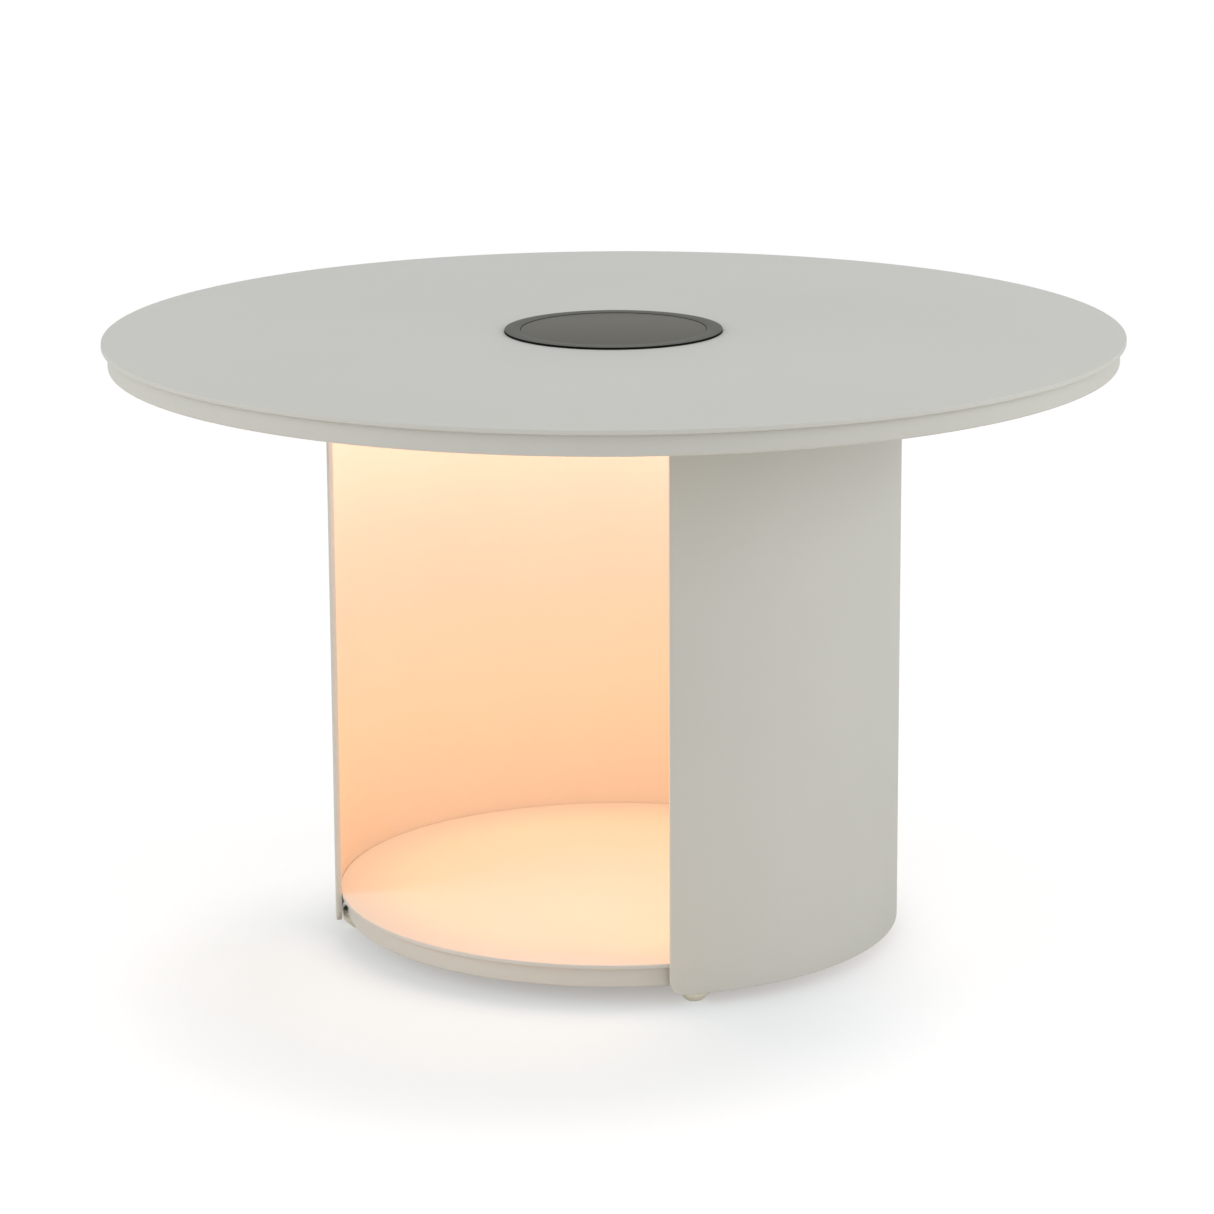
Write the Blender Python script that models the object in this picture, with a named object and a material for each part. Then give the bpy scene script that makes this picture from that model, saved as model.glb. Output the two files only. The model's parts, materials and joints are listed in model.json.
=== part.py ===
"""A round coffee table with a light in its drum-shaped pedestal.

The frame has +Z up, its origin on the ground under the middle of the table, and the pedestal's opening towards -Y.
All lengths are in metres and all angles in degrees.
"""

import math

import bmesh
import bpy
from mathutils import Matrix, Vector

# Clearances that every piece shares
GAP = 0.0003
SCREW_CLEARANCE = 0.0004
CUT_OVERRUN = 0.001
WELD_DEPTH = 0.0005
MERGE_DISTANCE = 0.000001

# Table top
TABLE_HEIGHT = 0.454
TOP_DIAMETER = 0.750
TOP_SHEET = 0.0035
TOP_EDGE_RADIUS = 0.001
TRAY_SETBACK = 0.0045
TRAY_DEPTH = 0.0152
TRAY_WALL = 0.003
TRAY_FLOOR = 0.0025
TRAY_EDGE_RADIUS = 0.002
RIB_COUNT = 4
RIB_WIDTH = 0.020
RIB_SHEET = 0.002
COLLAR_WALL = 0.004

# Drum pedestal
DRUM_DIAMETER = 0.425
DRUM_SHEET = 0.004
DRUM_GROUND_CLEARANCE = 0.0095
DRUM_CORNER_RADIUS = 0.010
OPENING_ANGLE = 91.0
PANEL_EDGE_GAP = 0.0008
HEAD_SHEET = 0.003

# Base
FLOOR_PANEL_HEIGHT = 0.0325
FLOOR_SHEET = 0.003
BASE_SETBACK = 0.0037
BASE_DEPTH = 0.0147
BASE_WALL = 0.003
BASE_FLOOR = 0.003
BASE_EDGE_RADIUS = 0.0015

# Levelling feet
FOOT_INSET = 0.009
FOOT_ANGLE = 51.75
FOOT_TOP_DIAMETER = 0.024
FOOT_BOTTOM_DIAMETER = 0.011
FOOT_SHOULDER_HEIGHT = 0.006
FOOT_EDGE_RADIUS = 0.001
STUD_DIAMETER = 0.008
STUD_SEAT_DEPTH = 0.008
BOSS_DIAMETER = 0.016
BOSS_HEIGHT = 0.008

# Brackets that join the drum to the head plate and to the base tray
BRACKET_ANGLES = (60.0, 144.0)
BRACKET_SHEET = 0.003
BRACKET_WIDTH = 0.024
BRACKET_LEG = 0.022
BRACKET_SCREW_INSET = 0.013
BRACKET_SCREW_DIAMETER = 0.005
BRACKET_SCREW_LENGTH = 0.0155
BRACKET_HEAD_DIAMETER = 0.009
BRACKET_HEAD_HEIGHT = 0.0027
SCREW_RECESS_SHARE = 0.8

# Light module: bezel and glass
MODULE_HOLE_DIAMETER = 0.150
PASSAGE_CLEARANCE = 0.001
BEZEL_DIAMETER = 0.1605
BEZEL_RISE = 0.0018
BEZEL_REBATE = 0.0005
BEZEL_CHAMFER_WIDTH = 0.0006
BEZEL_CHAMFER_HEIGHT = 0.0006
NECK_CLEARANCE = 0.0004
NECK_WALL = 0.0036
NECK_DEPTH = 0.010
GLASS_DIAMETER = 0.1366
GLASS_SHEET = 0.003
GLASS_EDGE_CHAMFER = 0.0004
SEAT_WIDTH = 0.0056
SEAT_SHEET = 0.003
CELL_SHEET = 0.0016
SEAL_SECTION = 0.0014
SEAL_DROP = 0.001

# Light module: housing, optics and electronics
HOUSING_WALL = 0.0022
HOUSING_DEPTH = 0.0437
HOUSING_FLOOR = 0.003
HOUSING_EDGE_RADIUS = 0.002
WINDOW_DIAMETER = 0.107
DIFFUSER_SHEET = 0.002
DIFFUSER_LIP_WIDTH = 0.0033
DIFFUSER_LIP_SHEET = 0.0015
DIFFUSER_RIM_DROP = 0.0015
DIFFUSER_BULGE = 0.0085
LED_BOARD_DIAMETER = 0.114
BOARD_SHEET = 0.0016
LED_SIDE = 0.003
LED_HEIGHT = 0.0007
LED_RINGS = ((0.040, 6), (0.080, 12))
DRIVER_LENGTH = 0.080
DRIVER_WIDTH = 0.050
DRIVER_POST_DIAMETER = 0.004
DRIVER_POST_HEIGHT = 0.006
DRIVER_POST_INSET = 0.005
CHOKE_DIAMETER = 0.010
CHOKE_HEIGHT = 0.0035
CHIP_SIDE = 0.008
CHIP_HEIGHT = 0.0018
CELL_DIAMETER = 0.018
CELL_LENGTH = 0.065
CELL_PITCH = 0.019
CELL_COUNT = 3
CELL_TIP_DIAMETER = 0.006
CELL_TIP_HEIGHT = 0.001
HOLDER_LENGTH = 0.090
HOLDER_WIDTH = 0.062
HOLDER_SHEET = 0.002
HOLDER_END_HEIGHT = 0.014
HOLDER_LEG_SIDE = 0.004
HOLDER_LEG_HEIGHT = 0.0125
MODULE_SCREW_CIRCLE_DIAMETER = 0.132
MODULE_SCREW_ANGLES = (0.0, 120.0, 240.0)
MODULE_SCREW_DIAMETER = 0.003
MODULE_SCREW_SEAT = 0.0022
MODULE_HEAD_DIAMETER = 0.0056
MODULE_HEAD_HEIGHT = 0.002
LEAD_DIAMETER = 0.0018
LEAD_BULGE = 0.003

# Power button, switch and charging socket in the housing's floor
CONTROL_CIRCLE_DIAMETER = 0.1258
BUTTON_ANGLE = -90.0
SOCKET_ANGLE = 90.0
BUTTON_DIAMETER = 0.009
BUTTON_CLEARANCE = 0.0003
BUTTON_RESERVE = 0.0005
BUTTON_FLANGE_DIAMETER = 0.0098
BUTTON_FLANGE_SHEET = 0.001
BUTTON_TRAVEL = 0.0015
BUTTON_EDGE_RADIUS = 0.0006
SPRING_DIAMETER = 0.0068
SPRING_WIRE = 0.0007
SPRING_LENGTH = 0.006
SPRING_TURNS = 3.5
SWITCH_SIDE = 0.008
SWITCH_HEIGHT = 0.006
SOCKET_LENGTH = 0.0094
SOCKET_WIDTH = 0.0037
SOCKET_DEPTH = 0.0075
SOCKET_WALL = 0.0005
SOCKET_BACK = 0.001
SOCKET_CORNER_RADIUS = 0.0014

# Numbers of facets
TOP_ROUND = 96
DRUM_ROUND = 72
MODULE_ROUND = 36
FOOT_ROUND = 20
SMALL_ROUND = 12
ARC_STEPS = 2
DOME_STEPS = 4
CORNER_COLUMNS = 5
LEAD_POINTS = 14
SPRING_POINTS_PER_TURN = 10
FULL_TURN = 360.0
OPENING_DIRECTION = -90.0
SMOOTH_ANGLE = 35.0

# Heights and radii that follow from the sizes above
TOP_RADIUS = TOP_DIAMETER / 2
PANEL_UNDERSIDE = TABLE_HEIGHT - TOP_SHEET
TRAY_TOP = PANEL_UNDERSIDE - GAP
TRAY_BOTTOM = TRAY_TOP - TRAY_DEPTH
TRAY_RADIUS = TOP_RADIUS - TRAY_SETBACK
CAVITY_BOTTOM = TRAY_BOTTOM + TRAY_FLOOR + GAP
CAVITY_TOP = PANEL_UNDERSIDE - GAP
DRUM_TOP = TRAY_BOTTOM - GAP
DRUM_RADIUS = DRUM_DIAMETER / 2
DRUM_INNER_RADIUS = DRUM_RADIUS - DRUM_SHEET
DRUM_FACET_SHARE = math.cos(math.pi / DRUM_ROUND)
HEAD_TOP = TRAY_BOTTOM - GAP
HEAD_UNDERSIDE = HEAD_TOP - HEAD_SHEET
PANEL_RADIUS = DRUM_INNER_RADIUS - PANEL_EDGE_GAP
FLOOR_UNDERSIDE = FLOOR_PANEL_HEIGHT - FLOOR_SHEET
BASE_TOP = FLOOR_UNDERSIDE - GAP
BASE_BOTTOM = BASE_TOP - BASE_DEPTH
BASE_RADIUS = PANEL_RADIUS - BASE_SETBACK
FOOT_HEIGHT = BASE_BOTTOM - GAP
FOOT_CIRCLE_RADIUS = BASE_RADIUS - FOOT_INSET
STUD_RADIUS = STUD_DIAMETER / 2
BRACKET_CORNER_RADIUS = DRUM_INNER_RADIUS * DRUM_FACET_SHARE - GAP
BRACKET_FACE = math.sqrt(BRACKET_CORNER_RADIUS**2 - (BRACKET_WIDTH / 2) ** 2)
BRACKET_SCREW_RADIUS = BRACKET_FACE - BRACKET_SCREW_INSET
MODULE_HOLE_RADIUS = MODULE_HOLE_DIAMETER / 2
PASSAGE_RADIUS = MODULE_HOLE_RADIUS + PASSAGE_CLEARANCE
REBATE_RADIUS = BEZEL_DIAMETER / 2 + GAP
REBATE_TOP = TABLE_HEIGHT - BEZEL_REBATE
BEZEL_UNDERSIDE = REBATE_TOP + GAP
BEZEL_TOP = BEZEL_UNDERSIDE + BEZEL_RISE
NECK_RADIUS = MODULE_HOLE_RADIUS - NECK_CLEARANCE
NECK_INNER_RADIUS = NECK_RADIUS - NECK_WALL
GLASS_RADIUS = GLASS_DIAMETER / 2
GLASS_TOP = BEZEL_TOP - GAP
GLASS_UNDERSIDE = GLASS_TOP - GLASS_SHEET
SEAT_TOP = GLASS_UNDERSIDE - GAP
SEAT_UNDERSIDE = SEAT_TOP - SEAT_SHEET
SEAT_INNER_RADIUS = GLASS_RADIUS + GAP - SEAT_WIDTH
HOUSING_RADIUS = NECK_INNER_RADIUS - GAP
HOUSING_INNER_RADIUS = HOUSING_RADIUS - HOUSING_WALL
HOUSING_TOP = SEAT_UNDERSIDE - GAP
HOUSING_BOTTOM = HOUSING_TOP - HOUSING_DEPTH
HOUSING_FLOOR_TOP = HOUSING_BOTTOM + HOUSING_FLOOR
WINDOW_RADIUS = WINDOW_DIAMETER / 2
LIP_UNDERSIDE = HOUSING_FLOOR_TOP + GAP
LIP_TOP = LIP_UNDERSIDE + DIFFUSER_LIP_SHEET
LED_BOARD_UNDERSIDE = LIP_TOP + GAP
LED_BOARD_TOP = LED_BOARD_UNDERSIDE + BOARD_SHEET
DRIVER_UNDERSIDE = LED_BOARD_TOP + GAP + DRIVER_POST_HEIGHT
DRIVER_TOP = DRIVER_UNDERSIDE + BOARD_SHEET
HOLDER_UNDERSIDE = LED_BOARD_TOP + GAP + HOLDER_LEG_HEIGHT
HOLDER_TOP = HOLDER_UNDERSIDE + HOLDER_SHEET
CELL_HEIGHT = HOLDER_TOP + GAP + CELL_DIAMETER / 2
CONTROL_RADIUS = CONTROL_CIRCLE_DIAMETER / 2
BUTTON_PROUD = BUTTON_TRAVEL + BUTTON_RESERVE
BUTTON_FLANGE_UNDERSIDE = HOUSING_FLOOR_TOP + GAP
BUTTON_FLANGE_TOP = BUTTON_FLANGE_UNDERSIDE + BUTTON_FLANGE_SHEET
SPRING_BOTTOM = BUTTON_FLANGE_TOP + GAP
SWITCH_UNDERSIDE = SPRING_BOTTOM + SPRING_LENGTH + GAP
BRACKET_CLEARANCE_DIAMETER = BRACKET_SCREW_DIAMETER + 2 * SCREW_CLEARANCE


def clear_scene():
    for obj in list(bpy.data.objects):
        bpy.data.objects.remove(obj, do_unlink=True)


def make_material(name, colour, roughness, metallic=0.0, emission=None, strength=0.0):
    material = bpy.data.materials.new(name)
    material.use_nodes = True
    shader = material.node_tree.nodes["Principled BSDF"]
    shader.inputs["Base Color"].default_value = (*colour, 1.0)
    shader.inputs["Roughness"].default_value = roughness
    shader.inputs["Metallic"].default_value = metallic
    if emission:
        shader.inputs["Emission Color"].default_value = (*emission, 1.0)
        shader.inputs["Emission Strength"].default_value = strength
    material.diffuse_color = (*colour, 1.0)
    return material


def make_materials():
    return {
        "powder_coat": make_material("powder_coat", (0.62, 0.61, 0.57), 0.62),
        "hidden_steel": make_material("hidden_steel", (0.45, 0.45, 0.46), 0.40, 1.0),
        "screw_steel": make_material("screw_steel", (0.56, 0.56, 0.57), 0.30, 1.0),
        "foot_plastic": make_material("foot_plastic", (0.66, 0.64, 0.54), 0.50),
        "bezel_black": make_material("bezel_black", (0.016, 0.016, 0.016), 0.22),
        "dark_glass": make_material("dark_glass", (0.020, 0.021, 0.021), 0.06),
        "cell_wafer": make_material("cell_wafer", (0.012, 0.014, 0.030), 0.35),
        "seal_rubber": make_material("seal_rubber", (0.020, 0.020, 0.020), 0.80),
        "housing_plastic": make_material("housing_plastic", (0.70, 0.69, 0.66), 0.45),
        "battery_sleeve": make_material("battery_sleeve", (0.10, 0.22, 0.45), 0.40),
        "circuit_board": make_material("circuit_board", (0.03, 0.20, 0.09), 0.50),
        "opal_diffuser": make_material(
            "opal_diffuser", (0.90, 0.86, 0.78), 0.50, emission=(1.0, 0.78, 0.52), strength=2.0
        ),
        "lead_sleeve": make_material("lead_sleeve", (0.45, 0.03, 0.02), 0.50),
    }


def link_mesh(name, bm, material, smooth=True):
    """Writes a bmesh to a new object with its faces pointing outwards."""
    bmesh.ops.recalc_face_normals(bm, faces=bm.faces)
    mesh = bpy.data.meshes.new(name)
    bm.to_mesh(mesh)
    bm.free()
    if material:
        mesh.materials.append(material)
    if smooth:
        mesh.shade_smooth()
        mesh.set_sharp_from_angle(angle=math.radians(SMOOTH_ANGLE))
    obj = bpy.data.objects.new(name, mesh)
    bpy.context.scene.collection.objects.link(obj)
    return obj


def add_turned(bm, profile, segments, loops=True):
    """Spins a profile of (radius, height) points about Z. A closed profile becomes a ring or a shell."""
    points = [bm.verts.new((radius, 0, height)) for radius, height in profile]
    ends = points[1:] + points[:1] if loops else points[1:]
    edges = [bm.edges.new(pair) for pair in zip(points, ends)]
    bmesh.ops.spin(
        bm,
        geom=points + edges,
        cent=(0, 0, 0),
        axis=(0, 0, 1),
        angle=math.tau,
        steps=segments,
        use_merge=True,
    )
    bmesh.ops.remove_doubles(bm, verts=bm.verts, dist=MERGE_DISTANCE)
    wires = [edge for edge in bm.edges if not edge.link_faces]
    bmesh.ops.delete(bm, geom=wires, context="EDGES")


def turned(name, profile, segments, material=None, loops=True):
    bm = bmesh.new()
    add_turned(bm, profile, segments, loops)
    return link_mesh(name, bm, material)


def add_box(bm, low, high):
    size = [top - bottom for bottom, top in zip(low, high)]
    middle = [(top + bottom) / 2 for bottom, top in zip(low, high)]
    place = Matrix.Translation(middle) @ Matrix.Diagonal((*size, 1.0))
    bmesh.ops.create_cube(bm, size=1.0, matrix=place)


def add_rod(bm, centre, radius, bottom, top, segments):
    place = Matrix.Translation((centre[0], centre[1], (bottom + top) / 2))
    bmesh.ops.create_cone(
        bm,
        cap_ends=True,
        segments=segments,
        radius1=radius,
        radius2=radius,
        depth=top - bottom,
        matrix=place,
    )


def arc(centre, radius, start, end, steps):
    """Points of an arc in the radius and height plane, both ends included."""
    points = []
    for step in range(steps + 1):
        angle = math.radians(start + (end - start) * step / steps)
        points.append((centre[0] + radius * math.cos(angle), centre[1] + radius * math.sin(angle)))
    return points


def on_circle(radius, degrees_from_opening):
    """The plan position at this angle from the middle of the drum's opening."""
    angle = math.radians(OPENING_DIRECTION + degrees_from_opening)
    return radius * math.cos(angle), radius * math.sin(angle)


def as_helper(obj):
    obj.hide_render = True
    obj.display_type = "WIRE"
    return obj


def boolean(obj, helper, operation):
    modifier = obj.modifiers.new(operation.lower(), "BOOLEAN")
    modifier.operation = operation
    modifier.solver = "EXACT"
    modifier.object = helper
    return modifier


def holes_cutter(name, places, radius, bottom, top, segments=SMALL_ROUND):
    bm = bmesh.new()
    for place in places:
        add_rod(bm, place, radius, bottom - CUT_OVERRUN, top + CUT_OVERRUN, segments)
    return as_helper(link_mesh(name, bm, None))


def make_top_panel(material):
    """The round top sheet, with the hole that the light module drops into and a rebate for its bezel."""
    edge = TOP_EDGE_RADIUS
    profile = arc((TOP_RADIUS - edge, TABLE_HEIGHT - edge), edge, 90.0, 0.0, ARC_STEPS)
    profile += [(TOP_RADIUS, PANEL_UNDERSIDE)]
    profile += [(MODULE_HOLE_RADIUS, PANEL_UNDERSIDE), (MODULE_HOLE_RADIUS, REBATE_TOP)]
    profile += [(REBATE_RADIUS, REBATE_TOP), (REBATE_RADIUS, TABLE_HEIGHT)]
    turned("top_panel", profile, TOP_ROUND, material)


def make_top_tray(material, screw_places):
    """The shallow dish under the top sheet: its rim is the band that shows below the shadow line."""
    edge = TRAY_EDGE_RADIUS
    inner = TRAY_RADIUS - TRAY_WALL
    floor_top = TRAY_BOTTOM + TRAY_FLOOR
    profile = [(inner, TRAY_TOP), (TRAY_RADIUS, TRAY_TOP)]
    profile += arc((TRAY_RADIUS - edge, TRAY_BOTTOM + edge), edge, 0.0, -90.0, ARC_STEPS)
    profile += [(PASSAGE_RADIUS, TRAY_BOTTOM), (PASSAGE_RADIUS, floor_top), (inner, floor_top)]
    tray = turned("top_tray", profile, TOP_ROUND, material)
    cutter = holes_cutter(
        "top_tray_holes", screw_places, BRACKET_CLEARANCE_DIAMETER / 2, TRAY_BOTTOM, floor_top
    )
    boolean(tray, cutter, "DIFFERENCE")


def make_top_ribs(material):
    """Channel bars that hold the top sheet up over the tray's floor."""
    outer_limit = TRAY_RADIUS - TRAY_WALL - GAP
    start = PASSAGE_RADIUS + COLLAR_WALL + GAP
    end = math.sqrt(outer_limit**2 - (RIB_WIDTH / 2) ** 2)
    half = RIB_WIDTH / 2
    web = half - RIB_SHEET
    section = [(-half, CAVITY_BOTTOM), (-web, CAVITY_BOTTOM), (-web, CAVITY_TOP - RIB_SHEET)]
    section += [(web, CAVITY_TOP - RIB_SHEET), (web, CAVITY_BOTTOM), (half, CAVITY_BOTTOM)]
    section += [(half, CAVITY_TOP), (-half, CAVITY_TOP)]
    for index in range(RIB_COUNT):
        bm = bmesh.new()
        face = bm.faces.new([bm.verts.new((start, across, height)) for across, height in section])
        grown = bmesh.ops.extrude_face_region(bm, geom=[face])["geom"]
        moved = [item for item in grown if isinstance(item, bmesh.types.BMVert)]
        bmesh.ops.translate(bm, verts=moved, vec=(end - start, 0, 0))
        rib = link_mesh(f"top_rib_{index + 1}", bm, material, smooth=False)
        rib.rotation_euler.z = math.radians(OPENING_DIRECTION + FULL_TURN * index / RIB_COUNT)


def make_module_collar(material):
    """The ring that closes the top's cavity round the module's hole."""
    outer = PASSAGE_RADIUS + COLLAR_WALL
    profile = [(PASSAGE_RADIUS, CAVITY_TOP), (outer, CAVITY_TOP)]
    profile += [(outer, CAVITY_BOTTOM), (PASSAGE_RADIUS, CAVITY_BOTTOM)]
    turned("module_collar", profile, MODULE_ROUND, material)


def make_head_plate(material, screw_places):
    """The plate that closes the drum at the top and carries the table top."""
    profile = [(PASSAGE_RADIUS, HEAD_TOP), (PANEL_RADIUS, HEAD_TOP)]
    profile += [(PANEL_RADIUS, HEAD_UNDERSIDE), (PASSAGE_RADIUS, HEAD_UNDERSIDE)]
    plate = turned("head_plate", profile, DRUM_ROUND, material)
    cutter = holes_cutter(
        "head_plate_holes", screw_places, BRACKET_CLEARANCE_DIAMETER / 2, HEAD_UNDERSIDE, HEAD_TOP
    )
    boolean(plate, cutter, "DIFFERENCE")


def drum_columns():
    """Angles from the middle of the opening, each with the wall's lower edge there.

    The lower corners beside the opening are round, so the edge climbs a quarter circle at both ends.
    """
    first = OPENING_ANGLE / 2
    corner_angle = math.degrees(DRUM_CORNER_RADIUS / DRUM_RADIUS)
    columns = []
    for step in range(CORNER_COLUMNS):
        turn = math.radians(90.0 * step / CORNER_COLUMNS)
        along = corner_angle * (1 - math.cos(turn))
        climb = DRUM_CORNER_RADIUS * (1 - math.sin(turn))
        columns.append((first + along, DRUM_GROUND_CLEARANCE + climb))
    mirrored = [(FULL_TURN - angle, height) for angle, height in reversed(columns)]
    span = FULL_TURN - 2 * (first + corner_angle)
    plain = round(DRUM_ROUND * span / FULL_TURN)
    for step in range(plain + 1):
        columns.append((first + corner_angle + span * step / plain, DRUM_GROUND_CLEARANCE))
    return columns + mirrored


def make_drum_wall(material):
    """The curved sheet, three quarters of a cylinder, open towards -Y."""
    bm = bmesh.new()
    previous = None
    for angle, lower in drum_columns():
        column = []
        for radius, height in (
            (DRUM_INNER_RADIUS, lower),
            (DRUM_RADIUS, lower),
            (DRUM_RADIUS, DRUM_TOP),
            (DRUM_INNER_RADIUS, DRUM_TOP),
        ):
            column.append(bm.verts.new((*on_circle(radius, angle), height)))
        if previous:
            for index, start in enumerate(previous):
                following = (index + 1) % len(column)
                bm.faces.new((start, previous[following], column[following], column[index]))
        else:
            bm.faces.new(column)
        previous = column
    bm.faces.new(previous)
    link_mesh("drum_wall", bm, material)


def make_floor_panel(material):
    """The round sheet that closes the drum at the bottom: its rim is the thin lip in the opening."""
    profile = [(0, FLOOR_PANEL_HEIGHT), (PANEL_RADIUS, FLOOR_PANEL_HEIGHT)]
    profile += [(PANEL_RADIUS, FLOOR_UNDERSIDE), (0, FLOOR_UNDERSIDE)]
    turned("floor_panel", profile, DRUM_ROUND, material, loops=False)


def make_base_tray(material, foot_places, screw_places):
    """The dish under the floor panel, with a boss for each foot's stud."""
    edge = BASE_EDGE_RADIUS
    inner = BASE_RADIUS - BASE_WALL
    floor_top = BASE_BOTTOM + BASE_FLOOR
    profile = [(inner, BASE_TOP), (BASE_RADIUS, BASE_TOP)]
    profile += arc((BASE_RADIUS - edge, BASE_BOTTOM + edge), edge, 0.0, -90.0, ARC_STEPS)
    profile += [(0, BASE_BOTTOM), (0, floor_top), (inner, floor_top)]
    tray = turned("base_tray", profile, DRUM_ROUND, material)
    bm = bmesh.new()
    for place in foot_places:
        boss_top = floor_top + BOSS_HEIGHT
        add_rod(bm, place, BOSS_DIAMETER / 2, floor_top - WELD_DEPTH, boss_top, FOOT_ROUND)
    boolean(tray, as_helper(link_mesh("base_tray_bosses", bm, None)), "UNION")
    stud_holes = holes_cutter(
        "base_tray_stud_holes",
        foot_places,
        STUD_RADIUS + SCREW_CLEARANCE,
        BASE_BOTTOM,
        floor_top + BOSS_HEIGHT,
    )
    boolean(tray, stud_holes, "DIFFERENCE")
    screw_holes = holes_cutter(
        "base_tray_screw_holes",
        screw_places,
        BRACKET_CLEARANCE_DIAMETER / 2,
        BASE_BOTTOM,
        floor_top,
    )
    boolean(tray, screw_holes, "DIFFERENCE")


def make_feet(foot_material, stud_material, foot_places):
    """Tapered plastic pads on threaded studs. Each is placed on the axis that it turns about."""
    edge = FOOT_EDGE_RADIUS
    top = FOOT_TOP_DIAMETER / 2
    bottom = FOOT_BOTTOM_DIAMETER / 2
    socket = STUD_RADIUS + GAP
    seat = FOOT_HEIGHT - STUD_SEAT_DEPTH
    pad = [(0, seat), (socket, seat), (socket, FOOT_HEIGHT)]
    pad += arc((top - edge, FOOT_HEIGHT - edge), edge, 90.0, 0.0, ARC_STEPS)
    pad += [(top, FOOT_SHOULDER_HEIGHT), (bottom, 0), (0, 0)]
    stud_top = BASE_BOTTOM + BASE_FLOOR + BOSS_HEIGHT
    stud = [(0, stud_top), (STUD_RADIUS, stud_top)]
    stud += [(STUD_RADIUS, seat + GAP), (0, seat + GAP)]
    for index, place in enumerate(foot_places):
        foot = turned(f"foot_{index + 1}", pad, FOOT_ROUND, foot_material, loops=False)
        foot.location = (*place, 0)
        rod = turned(f"foot_stud_{index + 1}", stud, SMALL_ROUND, stud_material, loops=False)
        rod.location = (*place, 0)


def make_bracket(name, flange_bottom, leg_bottom, leg_top, degrees, material):
    """A bent bracket: its upright leg lies against the drum and its flange takes a screw."""
    half = BRACKET_WIDTH / 2
    flange_start = BRACKET_FACE - BRACKET_LEG
    upright_start = BRACKET_FACE - BRACKET_SHEET
    flange_top = flange_bottom + BRACKET_SHEET
    if leg_top > flange_top:
        section = [(flange_start, flange_bottom), (BRACKET_FACE, flange_bottom)]
        section += [(BRACKET_FACE, leg_top), (upright_start, leg_top)]
        section += [(upright_start, flange_top), (flange_start, flange_top)]
    else:
        section = [(flange_start, flange_top), (BRACKET_FACE, flange_top)]
        section += [(BRACKET_FACE, leg_bottom), (upright_start, leg_bottom)]
        section += [(upright_start, flange_bottom), (flange_start, flange_bottom)]
    bm = bmesh.new()
    face = bm.faces.new([bm.verts.new((out, -half, height)) for out, height in section])
    grown = bmesh.ops.extrude_face_region(bm, geom=[face])["geom"]
    moved = [item for item in grown if isinstance(item, bmesh.types.BMVert)]
    bmesh.ops.translate(bm, verts=moved, vec=(0, BRACKET_WIDTH, 0))
    bracket = link_mesh(name, bm, material, smooth=False)
    cutter = holes_cutter(
        f"{name}_hole",
        [(BRACKET_SCREW_RADIUS, 0)],
        BRACKET_CLEARANCE_DIAMETER / 2,
        flange_bottom,
        flange_top,
    )
    for obj in (bracket, cutter):
        obj.rotation_euler.z = math.radians(OPENING_DIRECTION + degrees)
    boolean(bracket, cutter, "DIFFERENCE")


def screw_profile(head_diameter, head_height, diameter, bottom, top):
    """A pan-headed screw pointing up, with a shallow drive recess in its head."""
    head = head_diameter / 2
    shank = diameter / 2
    head_top = bottom + head_height
    recess = head_height / 2
    dome = head_height / 3
    profile = [(0, top), (shank, top), (shank, head_top), (head, head_top)]
    profile += [(head, bottom + dome), (head - dome, bottom), (shank, bottom)]
    return profile + [(shank * SCREW_RECESS_SHARE, bottom + recess), (0, bottom + recess)]


def make_brackets_and_screws(bracket_material, screw_material, angles):
    """Four brackets under the head plate and four under the base tray, each with its screw."""
    upper_flange = HEAD_UNDERSIDE - GAP - BRACKET_SHEET
    lower_flange = BASE_BOTTOM - GAP - BRACKET_SHEET
    upper_screw = screw_profile(
        BRACKET_HEAD_DIAMETER,
        BRACKET_HEAD_HEIGHT,
        BRACKET_SCREW_DIAMETER,
        upper_flange - GAP - BRACKET_HEAD_HEIGHT,
        upper_flange - GAP + BRACKET_SCREW_LENGTH,
    )
    lower_screw = screw_profile(
        BRACKET_HEAD_DIAMETER,
        BRACKET_HEAD_HEIGHT,
        BRACKET_SCREW_DIAMETER,
        lower_flange - GAP - BRACKET_HEAD_HEIGHT,
        lower_flange - GAP + BRACKET_SCREW_LENGTH,
    )
    for index, degrees in enumerate(angles):
        number = index + 1
        leg_bottom = upper_flange + BRACKET_SHEET - BRACKET_LEG
        make_bracket(
            f"upper_bracket_{number}",
            upper_flange,
            leg_bottom,
            upper_flange,
            degrees,
            bracket_material,
        )
        make_bracket(
            f"lower_bracket_{number}",
            lower_flange,
            lower_flange,
            BASE_TOP - GAP,
            degrees,
            bracket_material,
        )
        place = on_circle(BRACKET_SCREW_RADIUS, degrees)
        for name, profile in (("upper_screw", upper_screw), ("lower_screw", lower_screw)):
            screw = turned(f"{name}_{number}", profile, SMALL_ROUND, screw_material, loops=False)
            screw.location = (*place, 0)


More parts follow.
